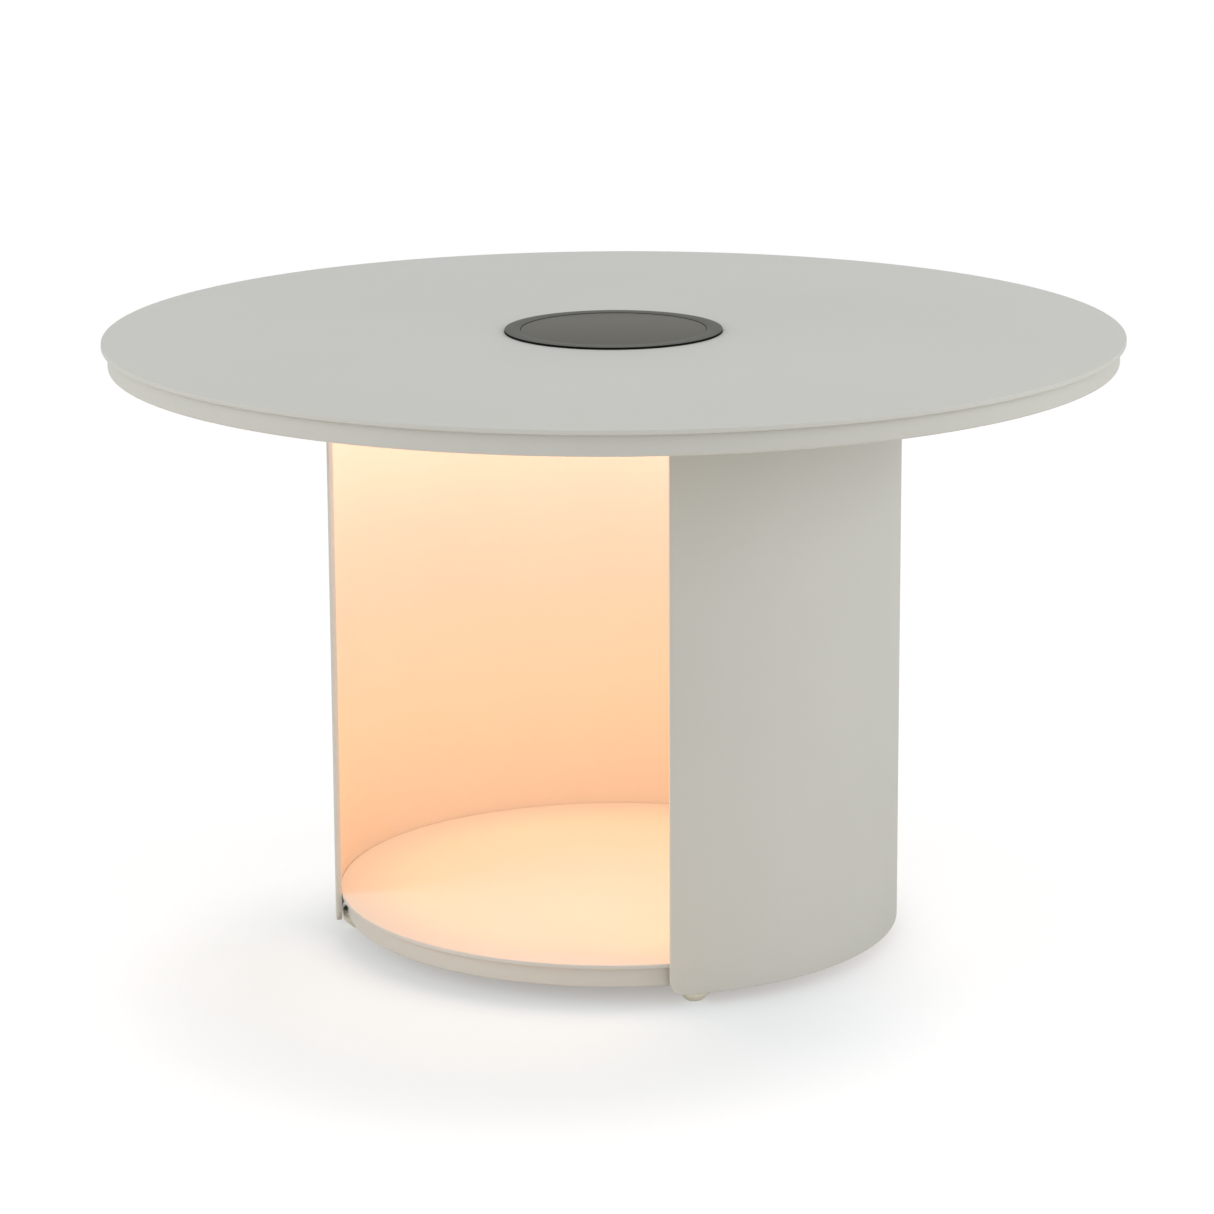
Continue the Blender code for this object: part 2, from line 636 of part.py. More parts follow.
def make_bezel(material, screw_places):
    """The black ring in the top sheet's rebate, its neck in the hole and its seat for the glass."""
    radius = BEZEL_DIAMETER / 2
    groove_top = TABLE_HEIGHT - SEAL_DROP
    groove_bottom = groove_top - SEAL_SECTION - 2 * GAP
    groove = NECK_RADIUS - SEAL_SECTION - GAP
    neck_bottom = BEZEL_UNDERSIDE - NECK_DEPTH
    well = GLASS_RADIUS + GAP
    profile = [(well, BEZEL_TOP), (radius - BEZEL_CHAMFER_WIDTH, BEZEL_TOP)]
    profile += [(radius, BEZEL_TOP - BEZEL_CHAMFER_HEIGHT), (radius, BEZEL_UNDERSIDE)]
    profile += [(NECK_RADIUS, BEZEL_UNDERSIDE), (NECK_RADIUS, groove_top), (groove, groove_top)]
    profile += [(groove, groove_bottom), (NECK_RADIUS, groove_bottom), (NECK_RADIUS, neck_bottom)]
    profile += [(NECK_INNER_RADIUS, neck_bottom), (NECK_INNER_RADIUS, SEAT_UNDERSIDE)]
    profile += [(SEAT_INNER_RADIUS, SEAT_UNDERSIDE), (SEAT_INNER_RADIUS, SEAT_TOP), (well, SEAT_TOP)]
    bezel = turned("module_bezel", profile, MODULE_ROUND, material)
    cutter = holes_cutter(
        "module_bezel_holes",
        screw_places,
        MODULE_SCREW_DIAMETER / 2 + GAP,
        SEAT_UNDERSIDE,
        SEAT_UNDERSIDE + MODULE_SCREW_SEAT - CUT_OVERRUN,
    )
    boolean(bezel, cutter, "DIFFERENCE")
    seal_top = groove_top - GAP
    seal_outer = NECK_RADIUS + NECK_CLEARANCE - GAP
    seal_inner = groove + GAP
    seal = [(seal_inner, seal_top), (seal_outer, seal_top)]
    seal += [(seal_outer, seal_top - SEAL_SECTION), (seal_inner, seal_top - SEAL_SECTION)]
    return seal


def make_glass_and_cell(glass_material, cell_material):
    chamfer = GLASS_EDGE_CHAMFER
    glass = [(0, GLASS_TOP), (GLASS_RADIUS - chamfer, GLASS_TOP)]
    glass += [(GLASS_RADIUS, GLASS_TOP - chamfer), (GLASS_RADIUS, GLASS_UNDERSIDE)]
    glass += [(0, GLASS_UNDERSIDE)]
    turned("module_glass", glass, MODULE_ROUND, glass_material, loops=False)
    radius = SEAT_INNER_RADIUS - GAP
    top = GLASS_UNDERSIDE - GAP
    wafer = [(0, top), (radius, top), (radius, top - CELL_SHEET), (0, top - CELL_SHEET)]
    turned("charging_cell", wafer, MODULE_ROUND, cell_material, loops=False)


def make_housing(material, screw_places):
    """The lamp's cup, with the window for the light and the openings for its controls."""
    edge = HOUSING_EDGE_RADIUS
    profile = [(HOUSING_INNER_RADIUS, HOUSING_TOP), (HOUSING_RADIUS, HOUSING_TOP)]
    profile += arc((HOUSING_RADIUS - edge, HOUSING_BOTTOM + edge), edge, 0.0, -90.0, ARC_STEPS)
    profile += [(WINDOW_RADIUS, HOUSING_BOTTOM), (WINDOW_RADIUS, HOUSING_FLOOR_TOP)]
    profile += [(HOUSING_INNER_RADIUS, HOUSING_FLOOR_TOP)]
    housing = turned("module_housing", profile, MODULE_ROUND, material)
    bm = bmesh.new()
    bottom = HOUSING_BOTTOM - CUT_OVERRUN
    top = HOUSING_FLOOR_TOP + CUT_OVERRUN
    for place in screw_places:
        add_rod(bm, place, MODULE_SCREW_DIAMETER / 2 + GAP, bottom, top, SMALL_ROUND)
    button_hole = BUTTON_DIAMETER / 2 + BUTTON_CLEARANCE
    add_rod(bm, control_place(BUTTON_ANGLE), button_hole, bottom, top, FOOT_ROUND)
    socket_x, socket_y = control_place(SOCKET_ANGLE)
    half_length = SOCKET_LENGTH / 2 + GAP
    half_width = SOCKET_WIDTH / 2 + GAP
    low = (socket_x - half_length, socket_y - half_width, bottom)
    high = (socket_x + half_length, socket_y + half_width, top)
    add_box(bm, low, high)
    boolean(housing, as_helper(link_mesh("module_housing_cuts", bm, None)), "DIFFERENCE")


def control_place(degrees):
    angle = math.radians(degrees)
    return CONTROL_RADIUS * math.cos(angle), CONTROL_RADIUS * math.sin(angle)


def dome(radius, rim_height, bulge, steps):
    """Points of a shallow arc from the axis out to the rim, the axis the lowest."""
    sphere = (radius**2 + bulge**2) / (2 * bulge)
    sweep = math.asin(radius / sphere)
    centre = rim_height - bulge + sphere
    points = []
    for step in range(steps + 1):
        angle = sweep * step / steps
        points.append((sphere * math.sin(angle), centre - sphere * math.cos(angle)))
    points[0] = (0, points[0][1])
    return points


def make_diffuser(material):
    """The opal cover: a shallow dome with an inner lip that rests on the housing's floor."""
    outer = WINDOW_RADIUS - GAP
    inner = outer - DIFFUSER_SHEET
    rim = HOUSING_BOTTOM - DIFFUSER_RIM_DROP
    profile = dome(outer, rim, DIFFUSER_BULGE, DOME_STEPS)
    profile += [(outer, LIP_UNDERSIDE), (outer + DIFFUSER_LIP_WIDTH, LIP_UNDERSIDE)]
    profile += [(outer + DIFFUSER_LIP_WIDTH, LIP_TOP), (inner, LIP_TOP)]
    inside = dome(inner, rim + DIFFUSER_SHEET, DIFFUSER_BULGE, DOME_STEPS)
    profile += reversed(inside)
    turned("light_diffuser", profile, MODULE_ROUND, material, loops=False)


def make_led_board(material):
    """The round board over the diffuser, with its light chips facing down."""
    radius = LED_BOARD_DIAMETER / 2
    profile = [(0, LED_BOARD_TOP), (radius, LED_BOARD_TOP)]
    profile += [(radius, LED_BOARD_UNDERSIDE), (0, LED_BOARD_UNDERSIDE)]
    board = turned("led_board", profile, MODULE_ROUND, material, loops=False)
    bm = bmesh.new()
    half = LED_SIDE / 2
    for circle_diameter, count in LED_RINGS:
        for index in range(count):
            angle = math.tau * index / count
            x = circle_diameter / 2 * math.cos(angle)
            y = circle_diameter / 2 * math.sin(angle)
            low = (x - half, y - half, LED_BOARD_UNDERSIDE - LED_HEIGHT)
            high = (x + half, y + half, LED_BOARD_UNDERSIDE + WELD_DEPTH)
            add_box(bm, low, high)
    boolean(board, as_helper(link_mesh("led_board_chips", bm, None)), "UNION")


def make_driver_board(material):
    """The control board on four posts, with a choke and two chips on it."""
    half_length = DRIVER_LENGTH / 2
    half_width = DRIVER_WIDTH / 2
    bm = bmesh.new()
    add_box(bm, (-half_length, -half_width, DRIVER_UNDERSIDE), (half_length, half_width, DRIVER_TOP))
    board = link_mesh("driver_board", bm, material, smooth=False)
    bm = bmesh.new()
    post_x = half_length - DRIVER_POST_INSET
    post_y = half_width - DRIVER_POST_INSET
    for x in (-post_x, post_x):
        for y in (-post_y, post_y):
            post_top = DRIVER_UNDERSIDE + WELD_DEPTH
            add_rod(bm, (x, y), DRIVER_POST_DIAMETER / 2, LED_BOARD_TOP + GAP, post_top, SMALL_ROUND)
    seat = DRIVER_TOP - WELD_DEPTH
    add_rod(bm, (0, 0), CHOKE_DIAMETER / 2, seat, DRIVER_TOP + CHOKE_HEIGHT, FOOT_ROUND)
    for side in (-1, 1):
        middle = side * half_length / 2
        low = (middle - CHIP_SIDE / 2, -CHIP_SIDE / 2, seat)
        high = (middle + CHIP_SIDE / 2, CHIP_SIDE / 2, DRIVER_TOP + CHIP_HEIGHT)
        add_box(bm, low, high)
    boolean(board, as_helper(link_mesh("driver_board_parts", bm, None)), "UNION")


def make_battery(cell_material, holder_material):
    """Three round cells in a holder that stands on the light board."""
    half_length = HOLDER_LENGTH / 2
    half_width = HOLDER_WIDTH / 2
    bm = bmesh.new()
    add_box(bm, (-half_length, -half_width, HOLDER_UNDERSIDE), (half_length, half_width, HOLDER_TOP))
    holder = link_mesh("battery_holder", bm, holder_material, smooth=False)
    bm = bmesh.new()
    end_start = CELL_LENGTH / 2 + CELL_TIP_HEIGHT + GAP
    end_stop = end_start + HOLDER_SHEET
    end_top = HOLDER_TOP + HOLDER_END_HEIGHT
    seat = HOLDER_TOP - WELD_DEPTH
    add_box(bm, (end_start, -half_width, seat), (end_stop, half_width, end_top))
    add_box(bm, (-end_stop, -half_width, seat), (-end_start, half_width, end_top))
    leg_x = half_length - HOLDER_LEG_SIDE
    leg_y = half_width - HOLDER_LEG_SIDE
    leg_bottom = LED_BOARD_TOP + GAP
    leg_top = HOLDER_UNDERSIDE + WELD_DEPTH
    for x in (-half_length, leg_x):
        for y in (-half_width, leg_y):
            low = (x, y, leg_bottom)
            high = (x + HOLDER_LEG_SIDE, y + HOLDER_LEG_SIDE, leg_top)
            add_box(bm, low, high)
    boolean(holder, as_helper(link_mesh("battery_holder_parts", bm, None)), "UNION")
    half_cell = CELL_LENGTH / 2
    tip = half_cell + CELL_TIP_HEIGHT
    profile = [(0, tip), (CELL_TIP_DIAMETER / 2, tip), (CELL_TIP_DIAMETER / 2, half_cell)]
    profile += [(CELL_DIAMETER / 2, half_cell), (CELL_DIAMETER / 2, -half_cell), (0, -half_cell)]
    for index in range(CELL_COUNT):
        name = f"battery_cell_{index + 1}"
        cell = turned(name, profile, FOOT_ROUND, cell_material, loops=False)
        cell.rotation_euler.y = math.radians(90.0)
        cell.location = (0, (index - (CELL_COUNT - 1) / 2) * CELL_PITCH, CELL_HEIGHT)


def make_power_button(button_material, spring_material, switch_material):
    """The push button in the housing's floor, its return spring and the switch above it."""
    place = control_place(BUTTON_ANGLE)
    edge = BUTTON_EDGE_RADIUS
    radius = BUTTON_DIAMETER / 2
    flange = BUTTON_FLANGE_DIAMETER / 2
    face = HOUSING_BOTTOM - BUTTON_PROUD
    profile = [(0, BUTTON_FLANGE_TOP), (flange, BUTTON_FLANGE_TOP)]
    profile += [(flange, BUTTON_FLANGE_UNDERSIDE), (radius, BUTTON_FLANGE_UNDERSIDE)]
    profile += arc((radius - edge, face + edge), edge, 0.0, -90.0, ARC_STEPS)
    profile += [(0, face)]
    button = turned("power_button", profile, FOOT_ROUND, button_material, loops=False)
    button.location = (*place, 0)
    make_spring(place, spring_material)
    half = SWITCH_SIDE / 2
    bm = bmesh.new()
    low = (-half, -half, SWITCH_UNDERSIDE)
    high = (half, half, SWITCH_UNDERSIDE + SWITCH_HEIGHT)
    add_box(bm, low, high)
    switch = link_mesh("power_switch", bm, switch_material, smooth=False)
    wall_limit = math.sqrt((HOUSING_INNER_RADIUS - GAP) ** 2 - half**2)
    switch.location = (0, half - wall_limit, 0)


def tube(name, points, radius, material, resolution=1):
    """A round lead or wire that follows the points, with closed ends."""
    curve = bpy.data.curves.new(name, "CURVE")
    curve.dimensions = "3D"
    curve.bevel_depth = radius
    curve.bevel_resolution = resolution
    curve.use_fill_caps = True
    spline = curve.splines.new("POLY")
    spline.points.add(len(points) - 1)
    for target, point in zip(spline.points, points):
        target.co = (*point, 1.0)
    curve.materials.append(material)
    obj = bpy.data.objects.new(name, curve)
    bpy.context.scene.collection.objects.link(obj)
    return obj


def make_spring(place, material):
    coil_radius = (SPRING_DIAMETER - SPRING_WIRE) / 2
    count = round(SPRING_TURNS * SPRING_POINTS_PER_TURN)
    wire = SPRING_WIRE / 2
    climb = SPRING_LENGTH - 2 * wire
    points = []
    for index in range(count + 1):
        share = index / count
        angle = math.tau * SPRING_TURNS * share
        x = place[0] + coil_radius * math.cos(angle)
        y = place[1] + coil_radius * math.sin(angle)
        points.append((x, y, SPRING_BOTTOM + wire + climb * share))
    tube("button_spring", points, wire, material)


def make_charge_socket(material):
    """The metal shell of the charging inlet: a flat tube with round ends, closed at the back."""
    place = control_place(SOCKET_ANGLE)
    top = HOUSING_BOTTOM + SOCKET_DEPTH
    shell = rounded_bar(
        "charge_socket", SOCKET_LENGTH, SOCKET_WIDTH, SOCKET_CORNER_RADIUS, HOUSING_BOTTOM, top, material
    )
    cavity = rounded_bar(
        "charge_socket_cavity",
        SOCKET_LENGTH - 2 * SOCKET_WALL,
        SOCKET_WIDTH - 2 * SOCKET_WALL,
        SOCKET_CORNER_RADIUS - SOCKET_WALL,
        HOUSING_BOTTOM - CUT_OVERRUN,
        top - SOCKET_BACK,
        None,
    )
    as_helper(cavity)
    for obj in (shell, cavity):
        obj.location = (*place, 0)
    boolean(shell, cavity, "DIFFERENCE")


def rounded_bar(name, length, width, radius, bottom, top, material):
    """An upright bar whose plan is a rectangle with round corners."""
    bm = bmesh.new()
    outline = []
    for x_side, y_side, start in ((1, 1, 0.0), (-1, 1, 90.0), (-1, -1, 180.0), (1, -1, 270.0)):
        centre = (x_side * (length / 2 - radius), y_side * (width / 2 - radius))
        for point in arc(centre, radius, start, start + 90.0, ARC_STEPS + 1):
            outline.append(bm.verts.new((*point, bottom)))
    face = bm.faces.new(outline)
    grown = bmesh.ops.extrude_face_region(bm, geom=[face])["geom"]
    moved = [item for item in grown if isinstance(item, bmesh.types.BMVert)]
    bmesh.ops.translate(bm, verts=moved, vec=(0, 0, top - bottom))
    return link_mesh(name, bm, material)


def make_module_screws(material, places):
    """Three long screws that draw the housing up to the bezel's seat."""
    profile = screw_profile(
        MODULE_HEAD_DIAMETER,
        MODULE_HEAD_HEIGHT,
        MODULE_SCREW_DIAMETER,
        HOUSING_BOTTOM - GAP - MODULE_HEAD_HEIGHT,
        SEAT_UNDERSIDE + MODULE_SCREW_SEAT - GAP,
    )
    for index, place in enumerate(places):
        screw = turned(f"module_screw_{index + 1}", profile, SMALL_ROUND, material, loops=False)
        screw.location = (*place, 0)


def smooth_route(route, count):
    """Points along a Catmull-Rom curve through the route's own points."""
    knots = [Vector(point) for point in route]
    knots = [2 * knots[0] - knots[1]] + knots + [2 * knots[-1] - knots[-2]]
    spans = len(route) - 1
    points = []
    for index in range(count + 1):
        place = index / count * spans
        span = min(int(place), spans - 1)
        t = place - span
        before, start, end, after = knots[span : span + 4]
        bend = 2 * before - 5 * start + 4 * end - after
        twist = 3 * start - before - 3 * end + after
        points.append((2 * start + (end - before) * t + bend * t**2 + twist * t**3) / 2)
    return points


def make_leads(material):
    """The lead from the cells down to the control board, and the one from that board to the lights."""
    radius = LEAD_DIAMETER / 2
    end_wall = CELL_LENGTH / 2 + CELL_TIP_HEIGHT + HOLDER_SHEET + 2 * GAP
    edge = DRIVER_LENGTH / 2 + GAP
    outside = HOLDER_LENGTH / 2 + LEAD_DIAMETER
    upper = HOLDER_TOP + HOLDER_END_HEIGHT / 2
    lower = (DRIVER_UNDERSIDE + DRIVER_TOP) / 2
    route = [
        (end_wall, 0, upper),
        (end_wall + LEAD_BULGE, 0, upper),
        (outside, 0, HOLDER_TOP + LEAD_BULGE / 2),
        (outside, 0, HOLDER_UNDERSIDE - LEAD_DIAMETER),
        (edge + LEAD_BULGE, 0, lower),
        (edge, 0, lower),
    ]
    tube("battery_lead", smooth_route(route, LEAD_POINTS), radius, material)
    along = DRIVER_LENGTH / 4
    bottom = LED_BOARD_TOP + GAP
    top = DRIVER_UNDERSIDE - GAP
    route = [(along, 0, bottom), (along, 0, (bottom + top) / 2), (along, 0, top)]
    tube("led_lead", smooth_route(route, len(route) + 1), radius, material)


def main():
    clear_scene()
    finish = make_materials()
    bracket_angles = [side * angle for angle in BRACKET_ANGLES for side in (-1, 1)]
    bracket_places = [on_circle(BRACKET_SCREW_RADIUS, angle) for angle in bracket_angles]
    half_turn = FULL_TURN / 2
    foot_angles = (-FOOT_ANGLE, FOOT_ANGLE, half_turn - FOOT_ANGLE, half_turn + FOOT_ANGLE)
    foot_places = [on_circle(FOOT_CIRCLE_RADIUS, angle) for angle in foot_angles]
    screw_radius = MODULE_SCREW_CIRCLE_DIAMETER / 2
    module_places = []
    for degrees in MODULE_SCREW_ANGLES:
        angle = math.radians(degrees)
        module_places.append((screw_radius * math.cos(angle), screw_radius * math.sin(angle)))
    coat = finish["powder_coat"]
    make_top_panel(coat)
    make_top_tray(coat, bracket_places)
    make_top_ribs(finish["hidden_steel"])
    make_module_collar(finish["hidden_steel"])
    make_head_plate(coat, bracket_places)
    make_drum_wall(coat)
    make_floor_panel(coat)
    make_base_tray(coat, foot_places, bracket_places)
    make_feet(finish["foot_plastic"], finish["screw_steel"], foot_places)
    make_brackets_and_screws(coat, finish["screw_steel"], bracket_angles)
    seal = make_bezel(finish["bezel_black"], module_places)
    turned("module_seal", seal, MODULE_ROUND, finish["seal_rubber"])
    make_glass_and_cell(finish["dark_glass"], finish["cell_wafer"])
    make_housing(finish["housing_plastic"], module_places)
    make_diffuser(finish["opal_diffuser"])
    make_led_board(finish["circuit_board"])
    make_driver_board(finish["circuit_board"])
    make_battery(finish["battery_sleeve"], finish["seal_rubber"])
    make_power_button(finish["bezel_black"], finish["screw_steel"], finish["seal_rubber"])
    make_charge_socket(finish["screw_steel"])
    make_module_screws(finish["screw_steel"], module_places)
    make_leads(finish["lead_sleeve"])


main()
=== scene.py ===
"""A round powder-coated coffee table whose drum pedestal is lit from inside.

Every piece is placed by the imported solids, in metres.
The table's axis is Z and the drum's opening faces -Y.
"""

import json
import math

import bmesh
import bpy
from mathutils import Matrix, Vector


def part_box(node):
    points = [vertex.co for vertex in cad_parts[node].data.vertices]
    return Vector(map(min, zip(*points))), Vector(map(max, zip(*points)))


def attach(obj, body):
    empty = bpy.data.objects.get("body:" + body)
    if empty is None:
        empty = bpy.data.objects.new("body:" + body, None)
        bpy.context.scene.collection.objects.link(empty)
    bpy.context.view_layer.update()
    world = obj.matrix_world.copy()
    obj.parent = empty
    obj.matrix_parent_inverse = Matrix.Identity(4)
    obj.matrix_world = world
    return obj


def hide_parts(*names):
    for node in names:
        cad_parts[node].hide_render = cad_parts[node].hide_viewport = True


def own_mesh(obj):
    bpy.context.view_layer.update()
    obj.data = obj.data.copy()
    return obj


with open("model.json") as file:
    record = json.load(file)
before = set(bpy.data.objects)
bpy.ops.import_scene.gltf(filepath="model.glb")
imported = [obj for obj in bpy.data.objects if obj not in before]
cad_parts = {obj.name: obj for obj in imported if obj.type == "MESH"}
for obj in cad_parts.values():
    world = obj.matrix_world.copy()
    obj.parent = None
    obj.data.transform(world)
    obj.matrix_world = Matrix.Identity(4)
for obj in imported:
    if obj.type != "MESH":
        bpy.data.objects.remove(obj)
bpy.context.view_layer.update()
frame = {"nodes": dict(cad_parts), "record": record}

# Photograph's camera: distances in metres, angles in radians, lens in millimetres
CAMERA_PLACE = (1.8228, -2.5892, 1.0106)
CAMERA_HEADING = math.radians(35.2) + 0.0009
CAMERA_PITCH = 0.2373
CAMERA_ROLL = -0.0053
SENSOR_WIDTH = 36.0
LENS = 129.36

# Floor: its real tone, the tone and lift that the camera alone sees, and its painted soft shades
FLOOR_SIZE = 4.2
FLOOR_TONE = (0.88, 0.85, 0.79, 1.0)
FLOOR_ROUGHNESS = 0.9
FLOOR_SEEN_TONE = (0.280, 0.360, 0.405, 1.0)
FLOOR_LIFT = (0.788, 0.724, 0.689, 1.0)
# Painted shade: a lower lift on the floor in front of the drum's opening, where the lamp's light
# spills out
SPILL_LIFT = (0.567, 0.532, 0.509, 1.0)
SPILL_PLACE = (0.047, -0.200, 0.0)
SPILL_NEAR = 0.168
SPILL_FAR = 0.375
# Painted shadow: the floor's lift falls off towards the drum's axis, under and round the table
DRUM_SHADE = 0.26
DRUM_SHADE_NEAR = 0.050
DRUM_SHADE_FAR = 0.257
# Painted shade: a dark warm spot on the floor under the drum's left wall corner, kept within the
# drum's outline
SLOT_SHADE_TONE = (0.200, 0.165, 0.130, 1.0)
SLOT_PLACE = (-0.1865, -0.0940, 0.0)
SLOT_TURN = math.radians(-45.0)
SLOT_REACH = (0.023, 0.006, 1.0)
SLOT_CORE = 0.20
OUTSIDE_NEAR = 0.2125
OUTSIDE_FAR = 0.2175

# Studio light: each softbox is placed to the side, to the back and up, as the camera sees it
WHITE = (1.0, 1.0, 1.0, 1.0)
WORLD_LEVEL = 0.570
SOFTBOX_AIM = Vector((0, 0, 0.25))
OVERHEAD_PLACE = (0.36, -0.01, 3.2)
OVERHEAD_SIZE = 2.6
OVERHEAD_WATTS = 13.0
LEFT_PLACE = (-3.0, -0.6, 1.2)
LEFT_WATTS = 23.5
RIGHT_PLACE = (3.0, -0.6, 1.2)
RIGHT_WATTS = 25.3
SIDE_SIZE = 1.8
FRONT_PLACE = (0.0, -3.4, 1.6)
FRONT_SIZE = 2.0
FRONT_WATTS = 10.8

# Warm light in the drum
CEILING_GLOW_SIZE = 0.40
CEILING_GLOW_GAP = 0.002
CEILING_GLOW_WATTS = 1.628
CEILING_GLOW_COLOUR = (1.0, 0.605, 0.481)
MIDDLE_RING_COUNT = 12
MIDDLE_RING_RADIUS = 0.130
MIDDLE_RING_HEIGHT = 0.140
MIDDLE_RING_WATTS = 0.249
MIDDLE_RING_COLOUR = (1.0, 0.780, 0.142)
LOW_RING_COUNT = 24
LOW_RING_RADIUS = 0.160
LOW_RING_HEIGHT = 0.060
LOW_RING_WATTS = 0.336
LOW_RING_COLOUR = (1.0, 0.167, 0.008)
RING_LIGHT_SIZE = 0.02

# Top
TOP_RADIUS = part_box("top_panel")[1].x
TOP_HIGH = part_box("top_panel")[1].z
TOP_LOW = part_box("top_panel")[0].z
TOP_EDGE = 0.0007
LAMP_HOLE_RADIUS = 0.075
REBATE_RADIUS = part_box("module_bezel")[1].x + 0.0003
REBATE_HIGH = TOP_HIGH - 0.0005
PASSAGE_RADIUS = 0.076
HOLE_EDGE = 0.0003
REBATE_EDGE = 0.0001
DISH_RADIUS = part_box("top_tray")[1].x
DISH_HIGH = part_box("top_tray")[1].z
DISH_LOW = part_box("top_tray")[0].z
DISH_WALL = 0.003
DISH_FLOOR = 0.0025
DISH_EDGE = 0.0018

# Drum
DRUM_RADIUS = 0.2125
DRUM_SHEET = 0.004
DRUM_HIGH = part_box("drum_wall")[1].z
DRUM_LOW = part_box("drum_wall")[0].z
DRUM_SWEEP = math.radians(269.0)
DRUM_CORNER = 0.010
DRUM_EDGE = 0.0007
DRUM_COLUMNS = 216
PLATE_RADIUS = 0.2083
CEILING_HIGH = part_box("head_plate")[1].z
CEILING_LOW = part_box("head_plate")[0].z
FLOOR_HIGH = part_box("floor_panel")[1].z
FLOOR_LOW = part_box("floor_panel")[0].z
PLATE_EDGE = 0.0005

# Base dish
BASE_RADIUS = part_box("base_tray")[1].x
BASE_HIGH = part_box("base_tray")[1].z
BASE_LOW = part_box("base_tray")[0].z
BASE_WALL = 0.003
BASE_EDGE = 0.0014

# Feet
FOOT_TOP_RADIUS = 0.012
FOOT_BOTTOM_RADIUS = 0.0055
FOOT_SHOULDER = 0.006
FOOT_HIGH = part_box("foot_1")[1].z
FOOT_SOCKET_RADIUS = 0.0043
FOOT_SEAT = FOOT_HIGH - 0.0080
FOOT_EDGE = 0.0009
FOOT_RING_HEIGHT = 0.0105
FOOT_RING_DEPTH = 0.0004

# Brackets and screws
BRACKET_PLACES = (-60.0, 60.0, -144.0, 144.0)
BRACKET_FACE = 0.20766
BRACKET_SHEET = 0.003
BRACKET_WIDTH = 0.024
BRACKET_LEG = 0.022
BRACKET_BEND = 0.002
BRACKET_CORNER = 0.004
SCREW_INSET = 0.013
SCREW_HOLE_RADIUS = 0.0029
BOLT_HEAD_RADIUS = 0.0045
BOLT_HEAD_TALL = 0.0027
BOLT_SHANK_RADIUS = 0.0025
BOLT_SOCKET_RADIUS = 0.0018

# A screw's shape, as shares of its head and shank
HEAD_FACE_SHARE = 0.72
HEAD_SHOULDER_SHARE = 0.45
HEAD_ROUND_SHARE = 0.2
TIP_SHARE = 0.5
SOCKET_SHARE = 0.62
SOCKET_SIDES = 6
SOCKET_CONE = 0.0003
CUT_OVERRUN = 0.001

# Lamp
LAMP_GAP = 0.0003
NECK_RADIUS = 0.0746
NECK_WALL = 0.0036
SEAL_GROOVE_RADIUS = 0.0729
SEAL_GROOVE_HIGH = TOP_HIGH - 0.0010
SEAL_GROOVE_LOW = TOP_HIGH - 0.0030
SEAL_EDGE = 0.0005
SEAT_SHEET = 0.003
SEAT_WIDTH = 0.0056
BEZEL_EDGE = 0.0002
HOUSING_WALL = 0.0022
HOUSING_FLOOR = 0.003
HOUSING_EDGE = 0.0019
HOUSING_RIM_EDGE = 0.0004
WINDOW_RADIUS = 0.0535
DRIP_STEP_DEPTH = 0.0008
DRIP_STEP_WIDTH = 0.0028
DRIP_STEP_SLOPE = 0.0004
COVER_SHEET = 0.002
COVER_BULGE = 0.0085
COVER_RIM_DROP = 0.0015
COVER_EDGE = 0.0008
LAMP_SCREW_HEAD_RADIUS = 0.0028
LAMP_SCREW_HEAD_TALL = 0.002
LAMP_SCREW_SHANK_RADIUS = 0.0015
LAMP_SCREW_SOCKET_RADIUS = 0.00125
LAMP_SCREW_HOLE_RADIUS = 0.0018

# Lamp's controls: the button in front and the charging inlet behind, on one circle
CONTROL_RADIUS = 0.0629
BUTTON_ANGLE = -90
BUTTON_HOLE_RADIUS = 0.0048
BUTTON_RADIUS = 0.0045
BUTTON_FLANGE_SHEET = 0.001
BUTTON_EDGE = 0.0005
FINGER_DISH_RADIUS = 0.0033
FINGER_DISH_EDGE = 0.0003
FINGER_DISH_DEPTH = 0.0005
FINGER_DISH_BEND = (0.0022, 0.0003)
INLET_ANGLE = 90
INLET_HOLE_LENGTH = 0.0100
INLET_HOLE_WIDTH = 0.0043
INLET_HOLE_CORNER = 0.0017
INLET_CORNER = 0.0014
INLET_WALL = 0.0005
INLET_SLOT = 0.0009
INLET_BACK = 0.001
TONGUE_LENGTH = 0.0048

# Disc: its grey face, its near-black side and its faint gloss
DISC_GREY = (0.134, 0.132, 0.113)
BEZEL_GREY = (0.116, 0.117, 0.103)
BEZEL_SIDE_BLACK = (0.005, 0.005, 0.004)
DISC_GLOSS = 0.03
DISC_ROUGHNESS = 0.50
GREY_FACE_DEPTH = 0.0001

# Round steps
FINE_ROUND = 256
MEDIUM_ROUND = 128
SMALL_ROUND = 48
DOME_STEPS = 12
SEED = 0.01
NEAR = 0.00002
MERGE = 0.000001
SMOOTH_ANGLE = math.radians(32.0)


def deselect():
    if bpy.context.mode != "OBJECT":
        bpy.ops.object.mode_set(mode="OBJECT")
    bpy.ops.object.select_all(action="DESELECT")


def make_active(obj):
    deselect()
    obj.select_set(True)
    bpy.context.view_layer.objects.active = obj


def take(obj, name):
    """Gives the piece its name and opens it for editing."""
    obj.name = name
    obj.data.name = name
    bpy.ops.object.mode_set(mode="EDIT")


def pick(obj, kind, test):
    """Selects the vertices, edges or faces that pass the test."""
    bpy.ops.mesh.select_mode(type=kind)
    bpy.ops.mesh.select_all(action="DESELECT")
    mesh = bmesh.from_edit_mesh(obj.data)
    items = {"VERT": mesh.verts, "EDGE": mesh.edges, "FACE": mesh.faces}[kind]
    for item in items:
        if test(item):
            item.select_set(True)
    bmesh.update_edit_mesh(obj.data)


